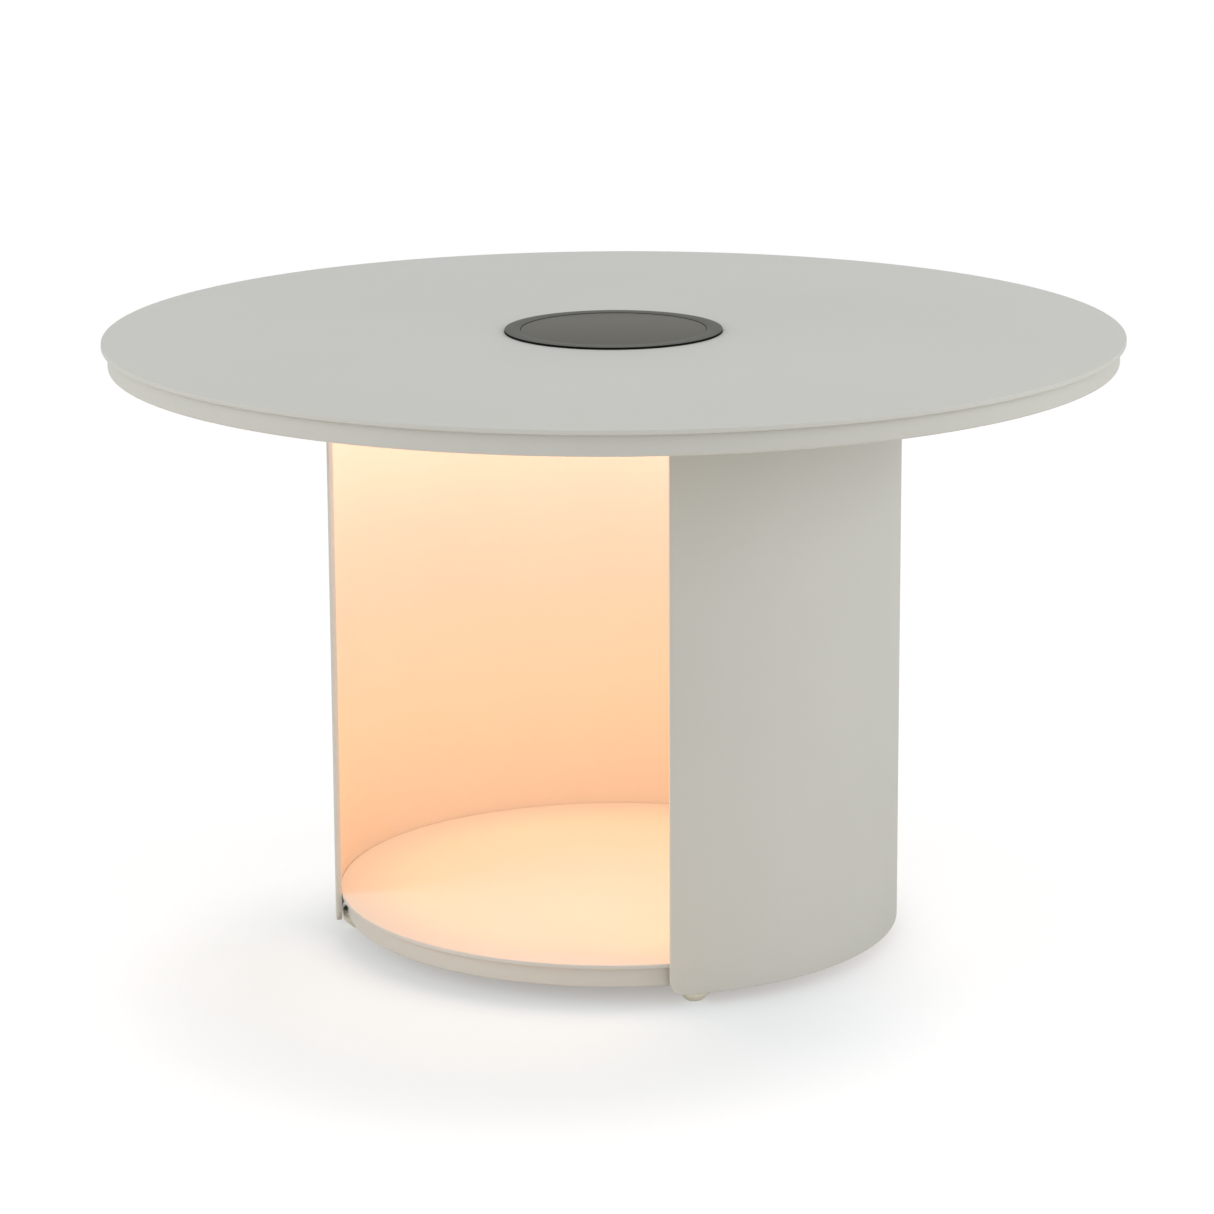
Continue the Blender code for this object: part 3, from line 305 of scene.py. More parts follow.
def close_edit(obj):
    """Cleans the mesh up, turns its faces outwards and shades it."""
    bpy.ops.mesh.select_mode(type="VERT")
    bpy.ops.mesh.select_all(action="SELECT")
    bpy.ops.mesh.remove_doubles(threshold=MERGE)
    bpy.ops.mesh.normals_make_consistent(inside=False)
    bpy.ops.object.mode_set(mode="OBJECT")
    bpy.ops.object.shade_smooth_by_angle(angle=SMOOTH_ANGLE)
    return obj


def draw_outline(name, corners, closed):
    """Draws an outline in the plane of the axis, from corner to corner by extruding one vertex."""
    deselect()
    bpy.ops.mesh.primitive_plane_add(size=SEED)
    obj = bpy.context.object
    take(obj, name)
    bpy.ops.mesh.merge(type="CENTER")
    here = Vector((corners[0][0], 0, corners[0][1]))
    bpy.ops.transform.translate(value=here)
    for radius, height in corners[1:]:
        there = Vector((radius, 0, height))
        bpy.ops.mesh.extrude_vertices_move(TRANSFORM_OT_translate={"value": there - here})
        here = there
    if closed:
        pick(obj, "VERT", lambda vertex: len(vertex.link_edges) == 1)
        bpy.ops.mesh.edge_face_add()
    return obj


def turn(name, corners, steps, closed=True):
    """Spins an outline about the table's axis. It stays open for editing."""
    obj = draw_outline(name, corners, closed)
    bpy.ops.mesh.select_all(action="SELECT")
    bpy.ops.mesh.spin(steps=steps, angle=math.tau, center=(0, 0, 0), axis=(0, 0, 1))
    bpy.ops.mesh.select_all(action="SELECT")
    bpy.ops.mesh.remove_doubles(threshold=MERGE)
    bpy.ops.mesh.normals_make_consistent(inside=False)
    return obj


def round_rings(obj, places, width, segments=3):
    """Rounds the turned edges at these (radius, height) places."""

    def on_ring(edge):
        for radius, height in places:
            hits = 0
            for vertex in edge.verts:
                away = math.hypot(vertex.co.x, vertex.co.y) - radius
                if abs(away) < NEAR and abs(vertex.co.z - height) < NEAR:
                    hits += 1
            if hits == 2:
                return True
        return False

    pick(obj, "EDGE", on_ring)
    bpy.ops.mesh.bevel(offset=width, segments=segments, affect="EDGES")


def move_mesh(obj, offset):
    obj.data.transform(Matrix.Translation(Vector(offset)))
    return obj


def copy_piece(obj, name, matrix):
    """A copy with a mesh of its own, moved or turned in its mesh."""
    mesh = obj.data.copy()
    mesh.name = name
    mesh.transform(matrix)
    copy = bpy.data.objects.new(name, mesh)
    bpy.context.scene.collection.objects.link(copy)
    return copy


def add_cutter(name, corners, steps, place=(0, 0, 0)):
    """A turned cutter that stands away from the table's axis."""
    obj = turn(name, corners, steps, closed=False)
    close_edit(obj)
    return move_mesh(obj, place)


def add_bore(name, radius, low, high, place):
    corners = [(0, low), (radius, low), (radius, high), (0, high)]
    return add_cutter(name, corners, SMALL_ROUND, place)


def cut(obj, cutter):
    """Takes the cutter's shape out of the piece, and the cutter away."""
    make_active(obj)
    opening = obj.modifiers.new("opening", "BOOLEAN")
    opening.operation = "DIFFERENCE"
    opening.solver = "EXACT"
    opening.object = cutter
    bpy.ops.object.modifier_apply(modifier=opening.name)
    bpy.data.objects.remove(cutter)


def apply_modifiers(obj):
    make_active(obj)
    for modifier in list(obj.modifiers):
        bpy.ops.object.modifier_apply(modifier=modifier.name)


def fit(obj, body, slot, material, *nodes):
    """Puts a finished piece on its body in place of the solids that it stands for."""
    obj.data.materials.clear()
    obj.data.materials.append(material)
    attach(obj, body)
    if nodes:
        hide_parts(*nodes)
    return obj


def new_group(name, inputs, outputs):
    """An empty shader node group with these sockets, its input node and its output node."""
    group = bpy.data.node_groups.new(name, "ShaderNodeTree")
    for socket, kind, value in inputs:
        made = group.interface.new_socket(socket, in_out="INPUT", socket_type=kind)
        made.default_value = value
    for socket, kind in outputs:
        group.interface.new_socket(socket, in_out="OUTPUT", socket_type=kind)
    start = group.nodes.new("NodeGroupInput")
    end = group.nodes.new("NodeGroupOutput")
    return group, start, end


def object_place(tree):
    return tree.nodes.new("ShaderNodeTexCoord").outputs["Object"]


def add_noise(tree, source, scale, detail, roughness=0.5):
    """Noise over a place. Its scale is a number or another node's output."""
    noise = tree.nodes.new("ShaderNodeTexNoise")
    noise.inputs["Detail"].default_value = detail
    noise.inputs["Roughness"].default_value = roughness
    tree.links.new(source, noise.inputs["Vector"])
    if isinstance(scale, float):
        noise.inputs["Scale"].default_value = scale
    else:
        tree.links.new(scale, noise.inputs["Scale"])
    return noise.outputs["Fac"]


def add_range(tree, source, low, high, from_low=0.0, from_high=1.0):
    node = tree.nodes.new("ShaderNodeMapRange")
    node.inputs["From Min"].default_value = from_low
    node.inputs["From Max"].default_value = from_high
    node.inputs["To Min"].default_value = low
    node.inputs["To Max"].default_value = high
    tree.links.new(source, node.inputs["Value"])
    return node.outputs["Result"]


def add_math(tree, operation, first, second):
    node = tree.nodes.new("ShaderNodeMath")
    node.operation = operation
    for socket, value in zip(node.inputs, (first, second)):
        if isinstance(value, (int, float)):
            socket.default_value = value
        else:
            tree.links.new(value, socket)
    return node.outputs["Value"]


def add_mix(tree, first, second, source):
    """Goes from one colour, or colour output, to another by a value from 0 to 1."""
    node = tree.nodes.new("ShaderNodeMix")
    node.data_type = "RGBA"
    for socket, colour in (("A", first), ("B", second)):
        if isinstance(colour, tuple):
            node.inputs[socket].default_value = colour
        else:
            tree.links.new(colour, node.inputs[socket])
    tree.links.new(source, node.inputs["Factor"])
    return node.outputs["Result"]


def add_tint(tree, colour, amount, source):
    """A colour made a little lighter and darker by a value from 0 to 1."""
    darker = [channel * (1.0 - amount) for channel in colour]
    lighter = [min(1.0, channel * (1.0 + amount)) for channel in colour]
    return add_mix(tree, (*darker, 1.0), (*lighter, 1.0), source)


def make_grain_group():
    """The pebbled skin of powder coat and moulded plastic, with slow drifts of tone."""
    group, start, end = new_group(
        "pebbled_skin",
        (
            ("Pebbles per metre", "NodeSocketFloat", 900.0),
            ("Drifts per metre", "NodeSocketFloat", 6.0),
            ("Specks per metre", "NodeSocketFloat", 2500.0),
        ),
        (
            ("Height", "NodeSocketFloat"),
            ("Tone", "NodeSocketFloat"),
            ("Polish", "NodeSocketFloat"),
        ),
    )
    place = object_place(group)
    pebbles = add_noise(group, place, start.outputs["Pebbles per metre"], 2.0)
    drifts = add_noise(group, place, start.outputs["Drifts per metre"], 3.0)
    specks = add_noise(group, place, start.outputs["Specks per metre"], 1.0)
    fine = add_math(group, "MULTIPLY", specks, 0.25)
    group.links.new(add_math(group, "ADD", pebbles, fine), end.inputs["Height"])
    slow = add_range(group, drifts, 0.0, 0.75, 0.3, 0.7)
    speckle = add_range(group, pebbles, 0.0, 0.25, 0.3, 0.7)
    group.links.new(add_math(group, "ADD", slow, speckle), end.inputs["Tone"])
    group.links.new(drifts, end.inputs["Polish"])
    return group


def make_brushed_group():
    """Fine lines drawn along one way, for plated and plain steel."""
    group, start, end = new_group(
        "drawn_lines",
        (("Across", "NodeSocketFloat", 1200.0), ("Along", "NodeSocketFloat", 40.0)),
        (("Height", "NodeSocketFloat"), ("Tone", "NodeSocketFloat")),
    )
    place = object_place(group)
    split = group.nodes.new("ShaderNodeSeparateXYZ")
    group.links.new(place, split.inputs["Vector"])
    join = group.nodes.new("ShaderNodeCombineXYZ")
    for axis, rate in (("X", "Across"), ("Y", "Across"), ("Z", "Along")):
        scaled = add_math(group, "MULTIPLY", split.outputs[axis], start.outputs[rate])
        group.links.new(scaled, join.inputs[axis])
    lines = add_noise(group, join.outputs["Vector"], 1.0, 3.0)
    group.links.new(lines, end.inputs["Height"])
    tone = add_range(group, lines, 0.0, 1.0, 0.3, 0.7)
    group.links.new(tone, end.inputs["Tone"])
    return group


def make_smudge_group():
    """Faint wiped streaks and dust on polished surfaces."""
    group, start, end = new_group(
        "wiped_film",
        (
            ("Streaks per metre", "NodeSocketFloat", 30.0),
            ("Dust per metre", "NodeSocketFloat", 700.0),
        ),
        (("Film", "NodeSocketFloat"), ("Dust", "NodeSocketFloat")),
    )
    place = object_place(group)
    streaks = add_noise(group, place, start.outputs["Streaks per metre"], 4.0, 0.6)
    dust = add_noise(group, place, start.outputs["Dust per metre"], 1.0)
    film = add_range(group, streaks, 0.0, 1.0, 0.35, 0.75)
    group.links.new(film, end.inputs["Film"])
    specks = add_range(group, dust, 0.0, 1.0, 0.66, 0.74)
    group.links.new(specks, end.inputs["Dust"])
    return group


PEBBLED_SKIN = make_grain_group()
DRAWN_LINES = make_brushed_group()
WIPED_FILM = make_smudge_group()


def start_material(name, roughness, metallic=0.0):
    material = bpy.data.materials.new(name)
    material.use_nodes = True
    shader = material.node_tree.nodes["Principled BSDF"]
    shader.inputs["Roughness"].default_value = roughness
    shader.inputs["Metallic"].default_value = metallic
    return material, material.node_tree, shader


def add_group(tree, group, **values):
    node = tree.nodes.new("ShaderNodeGroup")
    node.node_tree = group
    for name, value in values.items():
        node.inputs[name.replace("_", " ")].default_value = value
    return node


def add_bump(tree, shader, height, distance, strength=1.0):
    bump = tree.nodes.new("ShaderNodeBump")
    bump.inputs["Distance"].default_value = distance
    bump.inputs["Strength"].default_value = strength
    tree.links.new(height, bump.inputs["Height"])
    tree.links.new(bump.outputs["Normal"], shader.inputs["Normal"])


def make_pebbled(name, colour, roughness, pebbles, depth, tint=0.02, specular=0.5):
    """Powder coat or moulded plastic."""
    material, tree, shader = start_material(name, roughness)
    shader.inputs["Specular IOR Level"].default_value = specular
    skin = add_group(tree, PEBBLED_SKIN, Pebbles_per_metre=pebbles)
    tree.links.new(add_tint(tree, colour, tint, skin.outputs["Tone"]), shader.inputs["Base Color"])
    polish = add_range(tree, skin.outputs["Polish"], roughness - 0.05, roughness + 0.05)
    tree.links.new(polish, shader.inputs["Roughness"])
    add_bump(tree, shader, skin.outputs["Height"], depth)
    return material


def make_steel(name, colour, roughness, across, along):
    material, tree, shader = start_material(name, roughness, 1.0)
    lines = add_group(tree, DRAWN_LINES, Across=across, Along=along)
    tree.links.new(add_tint(tree, colour, 0.08, lines.outputs["Tone"]), shader.inputs["Base Color"])
    polish = add_range(tree, lines.outputs["Tone"], roughness - 0.06, roughness + 0.08)
    tree.links.new(polish, shader.inputs["Roughness"])
    add_bump(tree, shader, lines.outputs["Height"], 0.00002)
    return material


def make_dark_glass():
    """Etched glass over a grey printed backing, with a faint wiped film."""
    material, tree, shader = start_material("dark_glass", DISC_ROUGHNESS)
    shader.inputs["Specular IOR Level"].default_value = DISC_GLOSS
    film = add_group(tree, WIPED_FILM).outputs["Film"]
    tree.links.new(add_tint(tree, DISC_GREY, 0.05, film), shader.inputs["Base Color"])
    polish = add_range(tree, film, DISC_ROUGHNESS - 0.03, DISC_ROUGHNESS + 0.03)
    tree.links.new(polish, shader.inputs["Roughness"])
    return material


def make_bezel_coat():
    """The bezel: near-black on its side and grey like the glass on its flat face."""
    material, tree, shader = start_material("bezel_coat", DISC_ROUGHNESS)
    shader.inputs["Specular IOR Level"].default_value = DISC_GLOSS
    skin = add_group(tree, PEBBLED_SKIN, Pebbles_per_metre=2200.0)
    split = tree.nodes.new("ShaderNodeSeparateXYZ")
    tree.links.new(object_place(tree), split.inputs["Vector"])
    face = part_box("module_bezel")[1].z
    # Grey above a depth just under the flat face, near-black below it
    printed = add_range(
        tree, split.outputs["Z"], 0.0, 1.0, face - GREY_FACE_DEPTH, face - GREY_FACE_DEPTH / 2
    )
    side = add_tint(tree, BEZEL_SIDE_BLACK, 0.15, skin.outputs["Tone"])
    top = add_tint(tree, BEZEL_GREY, 0.03, skin.outputs["Tone"])
    tree.links.new(add_mix(tree, side, top, printed), shader.inputs["Base Color"])
    add_bump(tree, shader, skin.outputs["Height"], 0.00001)
    return material


def make_cell_wafer():
    """The dark cell under the glass, with fine collector lines."""
    material, tree, shader = start_material("cell_wafer", 0.3)
    wave = tree.nodes.new("ShaderNodeTexWave")
    wave.inputs["Scale"].default_value = 80.0
    tree.links.new(object_place(tree), wave.inputs["Vector"])
    lines = add_range(tree, wave.outputs["Fac"], 0.0, 1.0, 0.93, 0.99)
    colour = add_mix(tree, (0.010, 0.013, 0.030, 1.0), (0.35, 0.35, 0.36, 1.0), lines)
    tree.links.new(colour, shader.inputs["Base Color"])
    return material


def make_circuit_board():
    """Green solder mask with copper tracks that show through it."""
    material, tree, shader = start_material("circuit_board", 0.4)
    cells = tree.nodes.new("ShaderNodeTexVoronoi")
    cells.distance = "MANHATTAN"
    cells.feature = "F1"
    cells.inputs["Scale"].default_value = 220.0
    tree.links.new(object_place(tree), cells.inputs["Vector"])
    tracks = add_range(tree, cells.outputs["Distance"], 0.0, 1.0, 0.50, 0.54)
    colour = add_mix(tree, (0.020, 0.16, 0.06, 1.0), (0.06, 0.30, 0.11, 1.0), tracks)
    tree.links.new(colour, shader.inputs["Base Color"])
    add_bump(tree, shader, tracks, 0.00003)
    return material


def make_opal():
    """The lit cover: brightest in the middle, with a fine moulded grain."""
    material, tree, shader = start_material("opal_cover", 0.45)
    skin = add_group(tree, PEBBLED_SKIN, Pebbles_per_metre=1500.0)
    colour = add_tint(tree, (0.90, 0.86, 0.78), 0.02, skin.outputs["Tone"])
    tree.links.new(colour, shader.inputs["Base Color"])
    flat = tree.nodes.new("ShaderNodeVectorMath")
    flat.operation = "MULTIPLY"
    flat.inputs[1].default_value = (1.0, 1.0, 0.0)
    tree.links.new(object_place(tree), flat.inputs[0])
    away = tree.nodes.new("ShaderNodeVectorMath")
    away.operation = "LENGTH"
    tree.links.new(flat.outputs["Vector"], away.inputs[0])
    outward = add_range(tree, away.outputs["Value"], 0.0, 1.0, 0.0, 0.055)
    glow = add_mix(tree, (1.0, 0.80, 0.52, 1.0), (1.0, 0.66, 0.34, 1.0), outward)
    tree.links.new(glow, shader.inputs["Emission Color"])
    shader.inputs["Emission Strength"].default_value = 1.1
    add_bump(tree, shader, skin.outputs["Height"], 0.00002)
    return material


POWDER_COAT = make_pebbled(
    "powder_coat", (0.610, 0.612, 0.575), 0.62, pebbles=1100.0, depth=0.00006, specular=0.40
)
FOOT_PLASTIC = make_pebbled(
    "foot_plastic", (0.90, 0.88, 0.77), 0.50, pebbles=1800.0, depth=0.00003
)
HOUSING_PLASTIC = make_pebbled(
    "housing_plastic", (0.70, 0.69, 0.66), 0.45, pebbles=2000.0, depth=0.00003
)
BEZEL_COAT = make_bezel_coat()
BUTTON_BLACK = make_pebbled(
    "button_black", (0.02, 0.02, 0.01), 0.36, pebbles=2200.0, depth=0.00001, tint=0.15, specular=0.1
)
RUBBER = make_pebbled(
    "seal_rubber", (0.020, 0.020, 0.020), 0.80, pebbles=1500.0, depth=0.00003, tint=0.15
)
SLEEVE_BLUE = make_pebbled(
    "battery_sleeve", (0.10, 0.22, 0.45), 0.40, pebbles=500.0, depth=0.00002, tint=0.05
)
SLEEVE_RED = make_pebbled(
    "lead_sleeve", (0.45, 0.03, 0.02), 0.50, pebbles=2500.0, depth=0.00002, tint=0.05
)
PLAIN_STEEL = make_steel("hidden_steel", (0.45, 0.45, 0.46), 0.40, across=900.0, along=30.0)
PLATED_STEEL = make_steel("screw_steel", (0.56, 0.56, 0.57), 0.28, across=2500.0, along=900.0)
DARK_GLASS = make_dark_glass()
CELL_WAFER = make_cell_wafer()
CIRCUIT_BOARD = make_circuit_board()
OPAL = make_opal()


def make_top_sheet():
    """The round top, with softly rounded edges, the lamp's hole and the rebate for its bezel."""
    corners = [
        (LAMP_HOLE_RADIUS, REBATE_HIGH),
        (REBATE_RADIUS, REBATE_HIGH),
        (REBATE_RADIUS, TOP_HIGH),
        (TOP_RADIUS, TOP_HIGH),
        (TOP_RADIUS, TOP_LOW),
        (LAMP_HOLE_RADIUS, TOP_LOW),
    ]
    obj = turn("top_sheet", corners, FINE_ROUND)
    round_rings(obj, corners[3:5], TOP_EDGE, 4)
    round_rings(obj, [corners[2]], REBATE_EDGE, 2)
    round_rings(obj, [corners[0], corners[5]], HOLE_EDGE, 2)
    return fit(close_edit(obj), "table", "powder_coat", POWDER_COAT, "top_panel")


def make_top_dish():
    """The dish under the top sheet; its rim is the band that shows below the shadow line."""
    inner = DISH_RADIUS - DISH_WALL
    floor = DISH_LOW + DISH_FLOOR
    corners = [
        (inner, DISH_HIGH),
        (DISH_RADIUS, DISH_HIGH),
        (DISH_RADIUS, DISH_LOW),
        (PASSAGE_RADIUS, DISH_LOW),
        (PASSAGE_RADIUS, floor),
        (inner, floor),
    ]
    obj = turn("top_dish", corners, FINE_ROUND)
    round_rings(obj, [corners[2]], DISH_EDGE, 5)
    round_rings(obj, [corners[1]], HOLE_EDGE, 2)
    round_rings(obj, corners[3:5], HOLE_EDGE, 2)
    return fit(close_edit(obj), "table", "powder_coat", POWDER_COAT, "top_tray")


def make_drum_ceiling():
    corners = [
        (PASSAGE_RADIUS, CEILING_HIGH),
        (PLATE_RADIUS, CEILING_HIGH),
        (PLATE_RADIUS, CEILING_LOW),
        (PASSAGE_RADIUS, CEILING_LOW),
    ]
    obj = turn("drum_ceiling", corners, MEDIUM_ROUND)
    round_rings(obj, corners, PLATE_EDGE, 2)
    return fit(close_edit(obj), "table", "powder_coat", POWDER_COAT, "head_plate")


def make_drum_sheet():
    """The drum's wall: cut flat with two round corners, given its thickness, then rolled."""
    middle = DRUM_RADIUS - DRUM_SHEET / 2
    width = middle * DRUM_SWEEP
    tall = DRUM_HIGH - DRUM_LOW
    deselect()
    bpy.ops.mesh.primitive_plane_add(size=1.0)
    obj = bpy.context.object
    take(obj, "drum_sheet")
    bpy.ops.transform.resize(value=(width, tall, 1.0))
    bpy.ops.transform.rotate(value=math.radians(90.0), orient_axis="X", center_override=(0, 0, 0))
    lowest = min(vertex.co.z for vertex in bmesh.from_edit_mesh(obj.data).verts)
    pick(obj, "VERT", lambda vertex: vertex.co.z < lowest + NEAR)
    bpy.ops.mesh.bevel(offset=DRUM_CORNER, offset_type="ABSOLUTE", segments=10, affect="VERTICES")
    for index in range(1, DRUM_COLUMNS):
        across = width * (index / DRUM_COLUMNS - 0.5)
        bpy.ops.mesh.select_all(action="SELECT")
        bpy.ops.mesh.bisect(plane_co=(across, 0, 0), plane_no=(1, 0, 0))
    bpy.ops.object.mode_set(mode="OBJECT")
    thick = obj.modifiers.new("sheet", "SOLIDIFY")
    thick.thickness = DRUM_SHEET
    thick.offset = 0.0
    edge = obj.modifiers.new("deburred", "BEVEL")
    edge.width = DRUM_EDGE
    edge.segments = 3
    edge.limit_method = "ANGLE"
    edge.angle_limit = math.radians(60.0)
    roll = obj.modifiers.new("rolled", "SIMPLE_DEFORM")
    roll.deform_method = "BEND"
    roll.deform_axis = "Z"
    roll.angle = -DRUM_SWEEP
    apply_modifiers(obj)
    across_high = max(vertex.co.y for vertex in obj.data.vertices)
    lowest = min(vertex.co.z for vertex in obj.data.vertices)
    move_mesh(obj, (0, DRUM_RADIUS - across_high, DRUM_LOW - lowest))
    bpy.ops.object.mode_set(mode="EDIT")
    return fit(close_edit(obj), "table", "powder_coat", POWDER_COAT, "drum_wall")


def make_drum_floor():
    edges = [(PLATE_RADIUS, FLOOR_HIGH), (PLATE_RADIUS, FLOOR_LOW)]
    corners = [(0, FLOOR_HIGH), *edges, (0, FLOOR_LOW)]
    obj = turn("drum_floor", corners, FINE_ROUND, closed=False)
    round_rings(obj, edges, PLATE_EDGE, 3)
    return fit(close_edit(obj), "table", "powder_coat", POWDER_COAT, "floor_panel")


def make_base_dish():
    """The dish under the floor; its rim is the skirt in the opening."""
    inner = BASE_RADIUS - BASE_WALL
    floor = BASE_LOW + BASE_WALL
    corners = [
        (0, BASE_LOW),
        (BASE_RADIUS, BASE_LOW),
        (BASE_RADIUS, BASE_HIGH),
        (inner, BASE_HIGH),
        (inner, floor),
        (0, floor),
    ]
    obj = turn("base_dish", corners, FINE_ROUND, closed=False)
    round_rings(obj, [corners[1]], BASE_EDGE, 4)
    return fit(close_edit(obj), "table", "powder_coat", POWDER_COAT, "base_tray")


def node_middle(node):
    low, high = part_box(node)
    return (low + high) / 2


def make_foot_pads():
    """One tapered pad with a turned grip line, copied to the four studs."""
    corners = [
        (0, FOOT_SEAT),
        (FOOT_SOCKET_RADIUS, FOOT_SEAT),
        (FOOT_SOCKET_RADIUS, FOOT_HIGH),
        (FOOT_TOP_RADIUS, FOOT_HIGH),
        (FOOT_TOP_RADIUS, FOOT_RING_HEIGHT + FOOT_RING_DEPTH),
        (FOOT_TOP_RADIUS - FOOT_RING_DEPTH, FOOT_RING_HEIGHT),
        (FOOT_TOP_RADIUS, FOOT_RING_HEIGHT - FOOT_RING_DEPTH),
        (FOOT_TOP_RADIUS, FOOT_SHOULDER),
        (FOOT_BOTTOM_RADIUS, 0),
        (0, 0),
    ]
    pattern = turn("foot_pad", corners, SMALL_ROUND, closed=False)
    round_rings(pattern, [corners[3]], FOOT_EDGE, 3)
    round_rings(pattern, [corners[8]], FOOT_EDGE / 2, 2)
    close_edit(pattern)
    for number in range(1, 5):
        place = node_middle(f"foot_{number}")
        name = f"foot_pad_{number}"
        pad = copy_piece(pattern, name, Matrix.Translation((place.x, place.y, 0)))
        fit(pad, f"levelling_foot_{number}", "foot_plastic", FOOT_PLASTIC, f"foot_{number}")
    bpy.data.objects.remove(pattern)


def make_lamp_bezel():
    """The black ring, its neck with the seal's groove, and its seat for the glass."""
    low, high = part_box("module_bezel")
    glass_low, glass_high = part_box("module_glass")
    outer = high.x
    well = glass_high.x + LAMP_GAP
    seat_high = glass_low.z - LAMP_GAP
    seat_low = seat_high - SEAT_SHEET
    flange = REBATE_HIGH + LAMP_GAP
    neck_inner = NECK_RADIUS - NECK_WALL
    corners = [
        (well, high.z),
        (outer, high.z),
        (outer, flange),
        (NECK_RADIUS, flange),
        (NECK_RADIUS, SEAL_GROOVE_HIGH),
        (SEAL_GROOVE_RADIUS, SEAL_GROOVE_HIGH),
        (SEAL_GROOVE_RADIUS, SEAL_GROOVE_LOW),
        (NECK_RADIUS, SEAL_GROOVE_LOW),
        (NECK_RADIUS, low.z),
        (neck_inner, low.z),
        (neck_inner, seat_low),
        (well - SEAT_WIDTH, seat_low),
        (well - SEAT_WIDTH, seat_high),
        (well, seat_high),
    ]
    obj = turn("lamp_bezel", corners, FINE_ROUND)
    round_rings(obj, [corners[1]], BEZEL_EDGE, 3)
    round_rings(obj, [corners[0]], BEZEL_EDGE / 2, 2)
    round_rings(obj, corners[8:10], BEZEL_EDGE, 2)
    fit(close_edit(obj), "light_module", "bezel_black", BEZEL_COAT, "module_bezel")


def make_lamp_seal():
    low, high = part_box("module_seal")
    inner = SEAL_GROOVE_RADIUS + LAMP_GAP
    corners = [(inner, low.z), (high.x, low.z), (high.x, high.z), (inner, high.z)]
    obj = turn("lamp_seal", corners, MEDIUM_ROUND)
    round_rings(obj, corners, SEAL_EDGE, 3)
    fit(close_edit(obj), "light_module", "seal_rubber", RUBBER, "module_seal")


def make_lamp_glass():
    low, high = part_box("module_glass")
    corners = [(0, high.z), (high.x, high.z), (high.x, low.z), (0, low.z)]
    obj = turn("lamp_glass", corners, FINE_ROUND, closed=False)
    round_rings(obj, [corners[1]], BEZEL_EDGE, 3)
    fit(close_edit(obj), "light_module", "dark_glass", DARK_GLASS, "module_glass")


def control_spot(degrees):
    """A place on the circle of the lamp's controls."""
    angle = math.radians(degrees)
    return Vector((CONTROL_RADIUS * math.cos(angle), CONTROL_RADIUS * math.sin(angle), 0))


def make_slot_outline(name, length, width, corner, low, tall):
    """An upright bar with round corners, from a plane that is bevelled and extruded."""
    deselect()
    bpy.ops.mesh.primitive_plane_add(size=1.0, location=(0, 0, low))
    obj = bpy.context.object
    take(obj, name)
    bpy.ops.transform.resize(value=(length, width, 1.0))
    bpy.ops.mesh.select_all(action="SELECT")
    bpy.ops.mesh.bevel(offset=corner, offset_type="ABSOLUTE", segments=6, affect="VERTICES")
    bpy.ops.mesh.select_all(action="SELECT")
    bpy.ops.mesh.extrude_region_move(TRANSFORM_OT_translate={"value": (0, 0, tall)})
    return obj


def make_lamp_housing():
    """The lamp's cup: a drip step round its window, and openings for the controls and screws."""
    low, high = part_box("module_housing")
    inner = high.x - HOUSING_WALL
    floor = low.z + HOUSING_FLOOR
    step = low.z + DRIP_STEP_DEPTH
    step_end = WINDOW_RADIUS + DRIP_STEP_WIDTH
    corners = [
        (WINDOW_RADIUS, step),
        (step_end, step),
        (step_end + DRIP_STEP_SLOPE, low.z),
        (high.x, low.z),
        (high.x, high.z),
        (inner, high.z),
        (inner, floor),
        (WINDOW_RADIUS, floor),
    ]
    obj = turn("lamp_housing", corners, FINE_ROUND)
    round_rings(obj, [corners[3]], HOUSING_EDGE, 5)
    round_rings(obj, corners[4:6], HOUSING_RIM_EDGE, 2)
    round_rings(obj, [corners[0]], HOLE_EDGE, 2)
    close_edit(obj)
    bottom = low.z - CUT_OVERRUN
    top = floor + CUT_OVERRUN
    cut(obj, add_bore("button_cut", BUTTON_HOLE_RADIUS, bottom, top, control_spot(BUTTON_ANGLE)))
    for number in range(1, 4):
        spot = node_middle(f"module_screw_{number}")
        cut(obj, add_bore("screw_cut", LAMP_SCREW_HOLE_RADIUS, bottom, top, (spot.x, spot.y, 0)))
    inlet = make_slot_outline(
        "inlet_cut", INLET_HOLE_LENGTH, INLET_HOLE_WIDTH, INLET_HOLE_CORNER, bottom, top - bottom
    )
    close_edit(inlet)
    cut(obj, move_mesh(inlet, control_spot(INLET_ANGLE)))
    bpy.ops.object.mode_set(mode="EDIT")
    fit(close_edit(obj), "light_module", "housing_plastic", HOUSING_PLASTIC, "module_housing")


def make_opal_cover():
    """The opal cover: a shallow dome whose lip rests on the housing's floor."""
    low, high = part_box("light_diffuser")
    housing_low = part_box("module_housing")[0].z
    lip_low = housing_low + HOUSING_FLOOR + LAMP_GAP
    outer = WINDOW_RADIUS - LAMP_GAP
    inner = outer - COVER_SHEET
    rim = housing_low - COVER_RIM_DROP
    corners = []
    for radius, height, order in ((outer, rim, 1), (inner, rim + COVER_SHEET, -1)):
        ball = (radius**2 + COVER_BULGE**2) / (2 * COVER_BULGE)
        sweep = math.asin(radius / ball)
        dome = []
        for step in range(DOME_STEPS + 1):
            angle = sweep * step / DOME_STEPS
            rise = ball * (1 - math.cos(angle))
            dome.append((ball * math.sin(angle), height - COVER_BULGE + rise))
        dome[0] = (0, dome[0][1])
        corners += dome[::order]
        if order == 1:
            corners += [(outer, lip_low), (high.x, lip_low), (high.x, high.z), (inner, high.z)]
    obj = turn("opal_cover", corners, MEDIUM_ROUND, closed=False)
    round_rings(obj, [(outer, rim)], COVER_EDGE, 3)
    fit(close_edit(obj), "light_module", "opal_diffuser", OPAL, "light_diffuser")


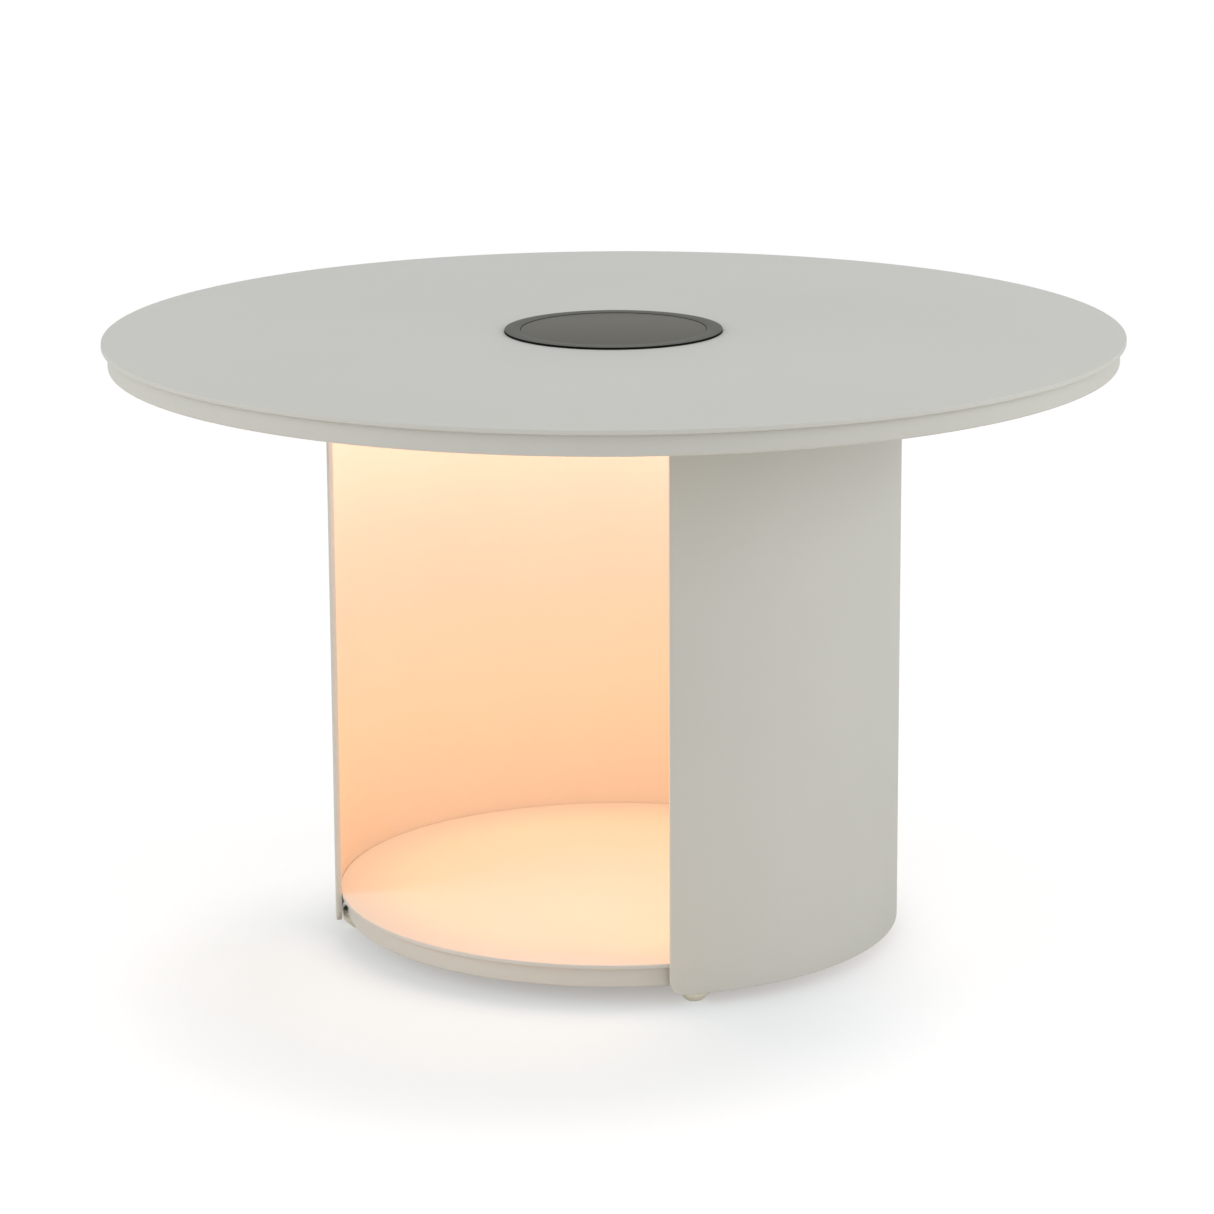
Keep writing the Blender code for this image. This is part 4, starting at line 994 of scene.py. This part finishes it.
def make_lamp_button():
    """The push button, with a finger dish in its face."""
    low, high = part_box("power_button")
    spot = control_spot(BUTTON_ANGLE)
    face = low.z
    flange = high.x - spot.x
    ledge = high.z - BUTTON_FLANGE_SHEET
    bend_radius, bend_depth = FINGER_DISH_BEND
    corners = [
        (0, face + FINGER_DISH_DEPTH),
        (bend_radius, face + bend_depth),
        (FINGER_DISH_RADIUS, face),
        (BUTTON_RADIUS, face),
        (BUTTON_RADIUS, ledge),
        (flange, ledge),
        (flange, high.z),
        (0, high.z),
    ]
    obj = turn("lamp_button", corners, SMALL_ROUND, closed=False)
    round_rings(obj, [corners[3]], BUTTON_EDGE, 3)
    round_rings(obj, [corners[2]], FINGER_DISH_EDGE, 2)
    move_mesh(close_edit(obj), spot)
    fit(obj, "push_button", "bezel_black", BUTTON_BLACK, "power_button")


def make_button_coil():
    """The button's return spring, copied from its solid onto the lamp."""
    obj = copy_piece(frame["nodes"]["button_spring"], "button_coil", Matrix.Identity(4))
    make_active(obj)
    bpy.ops.object.mode_set(mode="EDIT")
    fit(close_edit(obj), "light_module", "screw_steel", PLATED_STEEL, "button_spring")
    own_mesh(obj)


def make_charge_inlet():
    """The inlet's drawn metal shell, open below, with the contact tongue inside."""
    low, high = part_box("charge_socket")
    length = high.x - low.x
    width = high.y - low.y
    tall = high.z - low.z
    obj = make_slot_outline("charge_inlet", length, width, INLET_CORNER, low.z, tall)

    def is_mouth(face):
        return face.normal.z < -0.9 or max(v.co.z for v in face.verts) < low.z + NEAR

    pick(obj, "FACE", is_mouth)
    bpy.ops.mesh.inset(thickness=INLET_WALL)
    bpy.ops.mesh.extrude_region_move(TRANSFORM_OT_translate={"value": (0, 0, tall - INLET_BACK)})
    bpy.ops.mesh.inset(thickness=INLET_SLOT)
    bpy.ops.mesh.extrude_region_move(TRANSFORM_OT_translate={"value": (0, 0, -TONGUE_LENGTH)})
    move_mesh(close_edit(obj), control_spot(INLET_ANGLE))
    fit(obj, "light_module", "screw_steel", PLATED_STEEL, "charge_socket")


def make_hole_collar():
    low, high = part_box("module_collar")
    corners = [(PASSAGE_RADIUS, low.z), (high.x, low.z), (high.x, high.z), (PASSAGE_RADIUS, high.z)]
    obj = turn("hole_collar", corners, MEDIUM_ROUND)
    round_rings(obj, [corners[0], corners[3]], HOLE_EDGE, 2)
    fit(close_edit(obj), "table", "hidden_steel", PLAIN_STEEL, "module_collar")


def make_screw(name, node, head_radius, head_tall, shank_radius, socket_radius):
    """A pan-headed screw that points up, with a six-sided socket in its head."""
    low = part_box(node)[0].z
    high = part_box(node)[1].z
    seat = low + head_tall
    corners = [
        (0, low),
        (head_radius * HEAD_FACE_SHARE, low),
        (head_radius, low + head_tall * HEAD_SHOULDER_SHARE),
        (head_radius, seat),
        (shank_radius, seat),
        (shank_radius, high - shank_radius * TIP_SHARE),
        (shank_radius * TIP_SHARE, high),
        (0, high),
    ]
    obj = turn(name, corners, SMALL_ROUND, closed=False)
    round_rings(obj, corners[1:3], head_tall * HEAD_ROUND_SHARE, 3)
    close_edit(obj)
    start = low - CUT_OVERRUN
    deep = low + head_tall * SOCKET_SHARE
    socket = [(0, start), (socket_radius, start), (socket_radius, deep), (0, deep + SOCKET_CONE)]
    cut(obj, add_cutter("socket_cut", socket, SOCKET_SIDES))
    bpy.ops.object.mode_set(mode="EDIT")
    return close_edit(obj)


def make_lamp_screws():
    pattern = make_screw(
        "lamp_screw",
        "module_screw_1",
        LAMP_SCREW_HEAD_RADIUS,
        LAMP_SCREW_HEAD_TALL,
        LAMP_SCREW_SHANK_RADIUS,
        LAMP_SCREW_SOCKET_RADIUS,
    )
    for number in range(1, 4):
        spot = node_middle(f"module_screw_{number}")
        screw = copy_piece(pattern, f"lamp_screw_{number}", Matrix.Translation((spot.x, spot.y, 0)))
        fit(screw, "light_module", "screw_steel", PLATED_STEEL, f"module_screw_{number}")
    bpy.data.objects.remove(pattern)


def make_bent_bracket(name, flange_low, leg_end):
    """A bracket bent from sheet: its flange lies flat and its leg stands against the drum."""
    flange_high = flange_low + BRACKET_SHEET
    start = BRACKET_FACE - BRACKET_LEG
    back = BRACKET_FACE - BRACKET_SHEET
    near, far = (flange_low, flange_high) if leg_end > flange_high else (flange_high, flange_low)
    corners = [
        (start, near),
        (BRACKET_FACE, near),
        (BRACKET_FACE, leg_end),
        (back, leg_end),
        (back, far),
        (start, far),
    ]
    obj = draw_outline(name, corners, True)
    bpy.ops.mesh.select_all(action="SELECT")
    bpy.ops.mesh.edge_face_add()
    bpy.ops.mesh.extrude_region_move(TRANSFORM_OT_translate={"value": (0, BRACKET_WIDTH, 0)})
    bpy.ops.mesh.select_all(action="SELECT")
    bpy.ops.transform.translate(value=(0, -BRACKET_WIDTH / 2, 0))
    outer_bend = ((BRACKET_FACE, near), BRACKET_BEND + BRACKET_SHEET)
    inner_bend = ((back, far), BRACKET_BEND)
    for bend, radius in (outer_bend, inner_bend):
        pick(obj, "EDGE", lambda edge: lies_along(edge, bend))
        bpy.ops.mesh.bevel(offset=radius, segments=6, affect="EDGES")
    pick(obj, "EDGE", lambda edge: runs_at(edge, 0, start, 2) or runs_at(edge, 2, leg_end, 0))
    bpy.ops.mesh.bevel(offset=BRACKET_CORNER, segments=5, affect="EDGES")
    close_edit(obj)
    reach = BRACKET_FACE - SCREW_INSET
    low = flange_low - CUT_OVERRUN
    high = flange_high + CUT_OVERRUN
    cut(obj, add_bore("bracket_cut", SCREW_HOLE_RADIUS, low, high, (reach, 0, 0)))
    bpy.ops.object.mode_set(mode="EDIT")
    return close_edit(obj)


def lies_along(edge, place):
    """True for an edge along Y through this (radius, height) place."""
    for vertex in edge.verts:
        if abs(vertex.co.x - place[0]) > NEAR or abs(vertex.co.z - place[1]) > NEAR:
            return False
    return abs(edge.verts[0].co.y - edge.verts[1].co.y) > NEAR


def runs_at(edge, axis, place, along):
    """True for an edge at this place on one axis that runs along another one."""
    first, last = edge.verts
    at_place = abs(first.co[axis] - place) < NEAR and abs(last.co[axis] - place) < NEAR
    return at_place and abs(first.co[along] - last.co[along]) > NEAR


def make_brackets():
    """Four brackets under the ceiling and four under the base, each with its screw."""
    reach = BRACKET_FACE - SCREW_INSET
    for kind in ("upper", "lower"):
        low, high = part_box(f"{kind}_bracket_1")
        flange_low = high.z - BRACKET_SHEET if kind == "upper" else low.z
        leg_end = low.z if kind == "upper" else high.z
        bracket = make_bent_bracket(f"{kind}_corner", flange_low, leg_end)
        screw = make_screw(
            f"{kind}_bolt",
            f"{kind}_screw_1",
            BOLT_HEAD_RADIUS,
            BOLT_HEAD_TALL,
            BOLT_SHANK_RADIUS,
            BOLT_SOCKET_RADIUS,
        )
        move_mesh(screw, (reach, 0, 0))
        for number, degrees in enumerate(BRACKET_PLACES, 1):
            turned = Matrix.Rotation(math.radians(degrees - 90.0), 4, "Z")
            piece = copy_piece(bracket, f"{kind}_corner_{number}", turned)
            fit(piece, "table", "powder_coat", POWDER_COAT, f"{kind}_bracket_{number}")
            piece = copy_piece(screw, f"{kind}_bolt_{number}", turned)
            fit(piece, "table", "screw_steel", PLATED_STEEL, f"{kind}_screw_{number}")
        bpy.data.objects.remove(bracket)
        bpy.data.objects.remove(screw)


CARRIED = {
    "hidden_steel": PLAIN_STEEL,
    "screw_steel": PLATED_STEEL,
    "powder_coat": POWDER_COAT,
    "foot_plastic": FOOT_PLASTIC,
    "bezel_black": BUTTON_BLACK,
    "dark_glass": DARK_GLASS,
    "cell_wafer": CELL_WAFER,
    "seal_rubber": RUBBER,
    "housing_plastic": HOUSING_PLASTIC,
    "battery_sleeve": SLEEVE_BLUE,
    "circuit_board": CIRCUIT_BOARD,
    "opal_diffuser": OPAL,
    "lead_sleeve": SLEEVE_RED,
}


def dress_carried_nodes():
    """Gives each solid that still shows its worked material."""
    for entry in frame["record"]["subparts"]:
        obj = frame["nodes"][entry["node"]]
        for index in range(len(obj.material_slots)):
            obj.material_slots[index].material = CARRIED[entry["material_slot"]]


def fade_by_distance(tree, place, centre, near, far):
    """A value that turns softly from 0 to 1 with the distance from a centre."""
    away = tree.nodes.new("ShaderNodeVectorMath")
    away.operation = "DISTANCE"
    away.inputs[1].default_value = centre
    tree.links.new(place, away.inputs[0])
    fade = tree.nodes.new("ShaderNodeMapRange")
    fade.interpolation_type = "SMOOTHSTEP"
    fade.inputs["From Min"].default_value = near
    fade.inputs["From Max"].default_value = far
    tree.links.new(away.outputs["Value"], fade.inputs["Value"])
    return fade.outputs["Result"]


def make_stage():
    """A pale floor that keeps the table's real shadow with painted shade added round the drum,
    shows white elsewhere and is clear from below.
    """
    deselect()
    bpy.ops.mesh.primitive_plane_add(size=FLOOR_SIZE)
    floor = bpy.context.object
    floor.name = "studio_floor"
    material, tree, shader = start_material("studio_floor", FLOOR_ROUGHNESS)
    seen = tree.nodes.new("ShaderNodeLightPath").outputs["Is Camera Ray"]
    place = object_place(tree)
    # Painted shade: the floor's dark warm spot under the drum's left wall corner, which also takes
    # the lift away there
    slot_place = tree.nodes.new("ShaderNodeMapping")
    slot_place.vector_type = "TEXTURE"
    slot_place.inputs["Location"].default_value = SLOT_PLACE
    slot_place.inputs["Rotation"].default_value = (0.0, 0.0, SLOT_TURN)
    slot_place.inputs["Scale"].default_value = SLOT_REACH
    tree.links.new(place, slot_place.inputs["Vector"])
    slot = fade_by_distance(tree, slot_place.outputs["Vector"], (0, 0, 0), SLOT_CORE, 1.0)
    outside = fade_by_distance(tree, place, (0, 0, 0), OUTSIDE_NEAR, OUTSIDE_FAR)
    slot = add_math(tree, "MAXIMUM", slot, outside)
    seen_tone = add_mix(tree, SLOT_SHADE_TONE, FLOOR_SEEN_TONE, slot)
    tree.links.new(add_mix(tree, FLOOR_TONE, seen_tone, seen), shader.inputs["Base Color"])
    # Painted shade: the lift is lower in front of the drum's opening
    spill = fade_by_distance(tree, place, SPILL_PLACE, SPILL_NEAR, SPILL_FAR)
    lift = tree.nodes.new("ShaderNodeEmission")
    tree.links.new(add_mix(tree, SPILL_LIFT, FLOOR_LIFT, spill), lift.inputs["Color"])
    # Painted shadow: the lift falls off towards the drum's axis
    under = fade_by_distance(tree, place, (0, 0, 0), DRUM_SHADE_NEAR, DRUM_SHADE_FAR)
    shade = add_math(tree, "MULTIPLY", add_range(tree, under, DRUM_SHADE, 1.0), slot)
    tree.links.new(add_math(tree, "MULTIPLY", seen, shade), lift.inputs["Strength"])
    total = tree.nodes.new("ShaderNodeAddShader")
    tree.links.new(shader.outputs["BSDF"], total.inputs[0])
    tree.links.new(lift.outputs["Emission"], total.inputs[1])
    below = tree.nodes.new("ShaderNodeNewGeometry").outputs["Backfacing"]
    clear = tree.nodes.new("ShaderNodeBsdfTransparent")
    choose = tree.nodes.new("ShaderNodeMixShader")
    tree.links.new(add_math(tree, "MULTIPLY", seen, below), choose.inputs["Fac"])
    tree.links.new(total.outputs["Shader"], choose.inputs[1])
    tree.links.new(clear.outputs["BSDF"], choose.inputs[2])
    tree.links.new(choose.outputs["Shader"], tree.nodes["Material Output"].inputs["Surface"])
    floor.data.materials.append(material)


def make_world():
    """Even light, with plain white where the camera, a reflection or glass sees past the floor."""
    world = bpy.data.worlds.new("studio")
    bpy.context.scene.world = world
    world.use_nodes = True
    tree = world.node_tree
    room = tree.nodes["Background"]
    room.inputs["Color"].default_value = WHITE
    room.inputs["Strength"].default_value = WORLD_LEVEL
    white = tree.nodes.new("ShaderNodeBackground")
    white.inputs["Color"].default_value = WHITE
    path = tree.nodes.new("ShaderNodeLightPath")
    direct = add_math(tree, "MAXIMUM", path.outputs["Is Camera Ray"], path.outputs["Is Glossy Ray"])
    seen = add_math(tree, "MAXIMUM", direct, path.outputs["Is Transmission Ray"])
    choose = tree.nodes.new("ShaderNodeMixShader")
    tree.links.new(seen, choose.inputs["Fac"])
    tree.links.new(room.outputs["Background"], choose.inputs[1])
    tree.links.new(white.outputs["Background"], choose.inputs[2])
    tree.links.new(choose.outputs["Shader"], tree.nodes["World Output"].inputs["Surface"])


def add_light(name, kind, place, watts, colour=(1.0, 1.0, 1.0)):
    light = bpy.data.lights.new(name, kind)
    light.energy = watts
    light.color = colour
    obj = bpy.data.objects.new(name, light)
    bpy.context.scene.collection.objects.link(obj)
    obj.location = place
    obj.visible_camera = False
    return obj


def add_softbox(name, place, size, watts):
    """A square soft light, placed to the side and back of the table as the camera sees it."""
    stand = Matrix.Rotation(CAMERA_HEADING, 3, "Z") @ Vector(place)
    box = add_light(name, "AREA", stand, watts)
    box.data.shape = "SQUARE"
    box.data.size = size
    box.rotation_mode = "QUATERNION"
    box.rotation_quaternion = (SOFTBOX_AIM - stand).to_track_quat("-Z", "Y")


def add_light_ring(name, count, radius, height, watts, colour):
    """Small warm lights on a circle in the drum, for the light that the lamp sends down."""
    for index in range(count):
        place = Matrix.Rotation(math.tau * index / count, 3, "Z") @ Vector((radius, 0, height))
        light = add_light(f"{name}_{index + 1}", "POINT", place, watts / count, colour)
        light.data.shadow_soft_size = RING_LIGHT_SIZE


def make_lights():
    """Four studio softboxes, and warm lights that stand for the lamp's light in the drum."""
    add_softbox("overhead_softbox", OVERHEAD_PLACE, OVERHEAD_SIZE, OVERHEAD_WATTS)
    add_softbox("left_softbox", LEFT_PLACE, SIDE_SIZE, LEFT_WATTS)
    add_softbox("right_softbox", RIGHT_PLACE, SIDE_SIZE, RIGHT_WATTS)
    add_softbox("front_softbox", FRONT_PLACE, FRONT_SIZE, FRONT_WATTS)
    place = (0, 0, CEILING_LOW - CEILING_GLOW_GAP)
    glow = add_light("ceiling_glow", "AREA", place, CEILING_GLOW_WATTS, CEILING_GLOW_COLOUR)
    glow.data.shape = "DISK"
    glow.data.size = CEILING_GLOW_SIZE
    add_light_ring(
        "middle_ring",
        MIDDLE_RING_COUNT,
        MIDDLE_RING_RADIUS,
        MIDDLE_RING_HEIGHT,
        MIDDLE_RING_WATTS,
        MIDDLE_RING_COLOUR,
    )
    add_light_ring(
        "low_ring",
        LOW_RING_COUNT,
        LOW_RING_RADIUS,
        LOW_RING_HEIGHT,
        LOW_RING_WATTS,
        LOW_RING_COLOUR,
    )


def make_camera():
    data = bpy.data.cameras.new("photograph_view")
    data.sensor_width = SENSOR_WIDTH
    data.lens = LENS
    data.clip_end = 100.0
    camera = bpy.data.objects.new("photograph_view", data)
    bpy.context.scene.collection.objects.link(camera)
    heading = Matrix.Rotation(CAMERA_HEADING, 4, "Z")
    tilt = Matrix.Rotation(math.radians(90.0) - CAMERA_PITCH, 4, "X")
    roll = Matrix.Rotation(CAMERA_ROLL, 4, "Z")
    camera.matrix_world = Matrix.Translation(CAMERA_PLACE) @ heading @ tilt @ roll
    bpy.context.scene.camera = camera


make_camera()
make_world()
make_lights()
make_stage()
dress_carried_nodes()
make_top_sheet()
make_top_dish()
make_drum_ceiling()
make_drum_sheet()
make_drum_floor()
make_base_dish()
make_foot_pads()
make_brackets()
make_hole_collar()
make_lamp_bezel()
make_lamp_seal()
make_lamp_glass()
make_lamp_housing()
make_lamp_screws()
make_opal_cover()
make_lamp_button()
make_button_coil()
make_charge_inlet()
bpy.context.scene.view_settings.view_transform = "Standard"
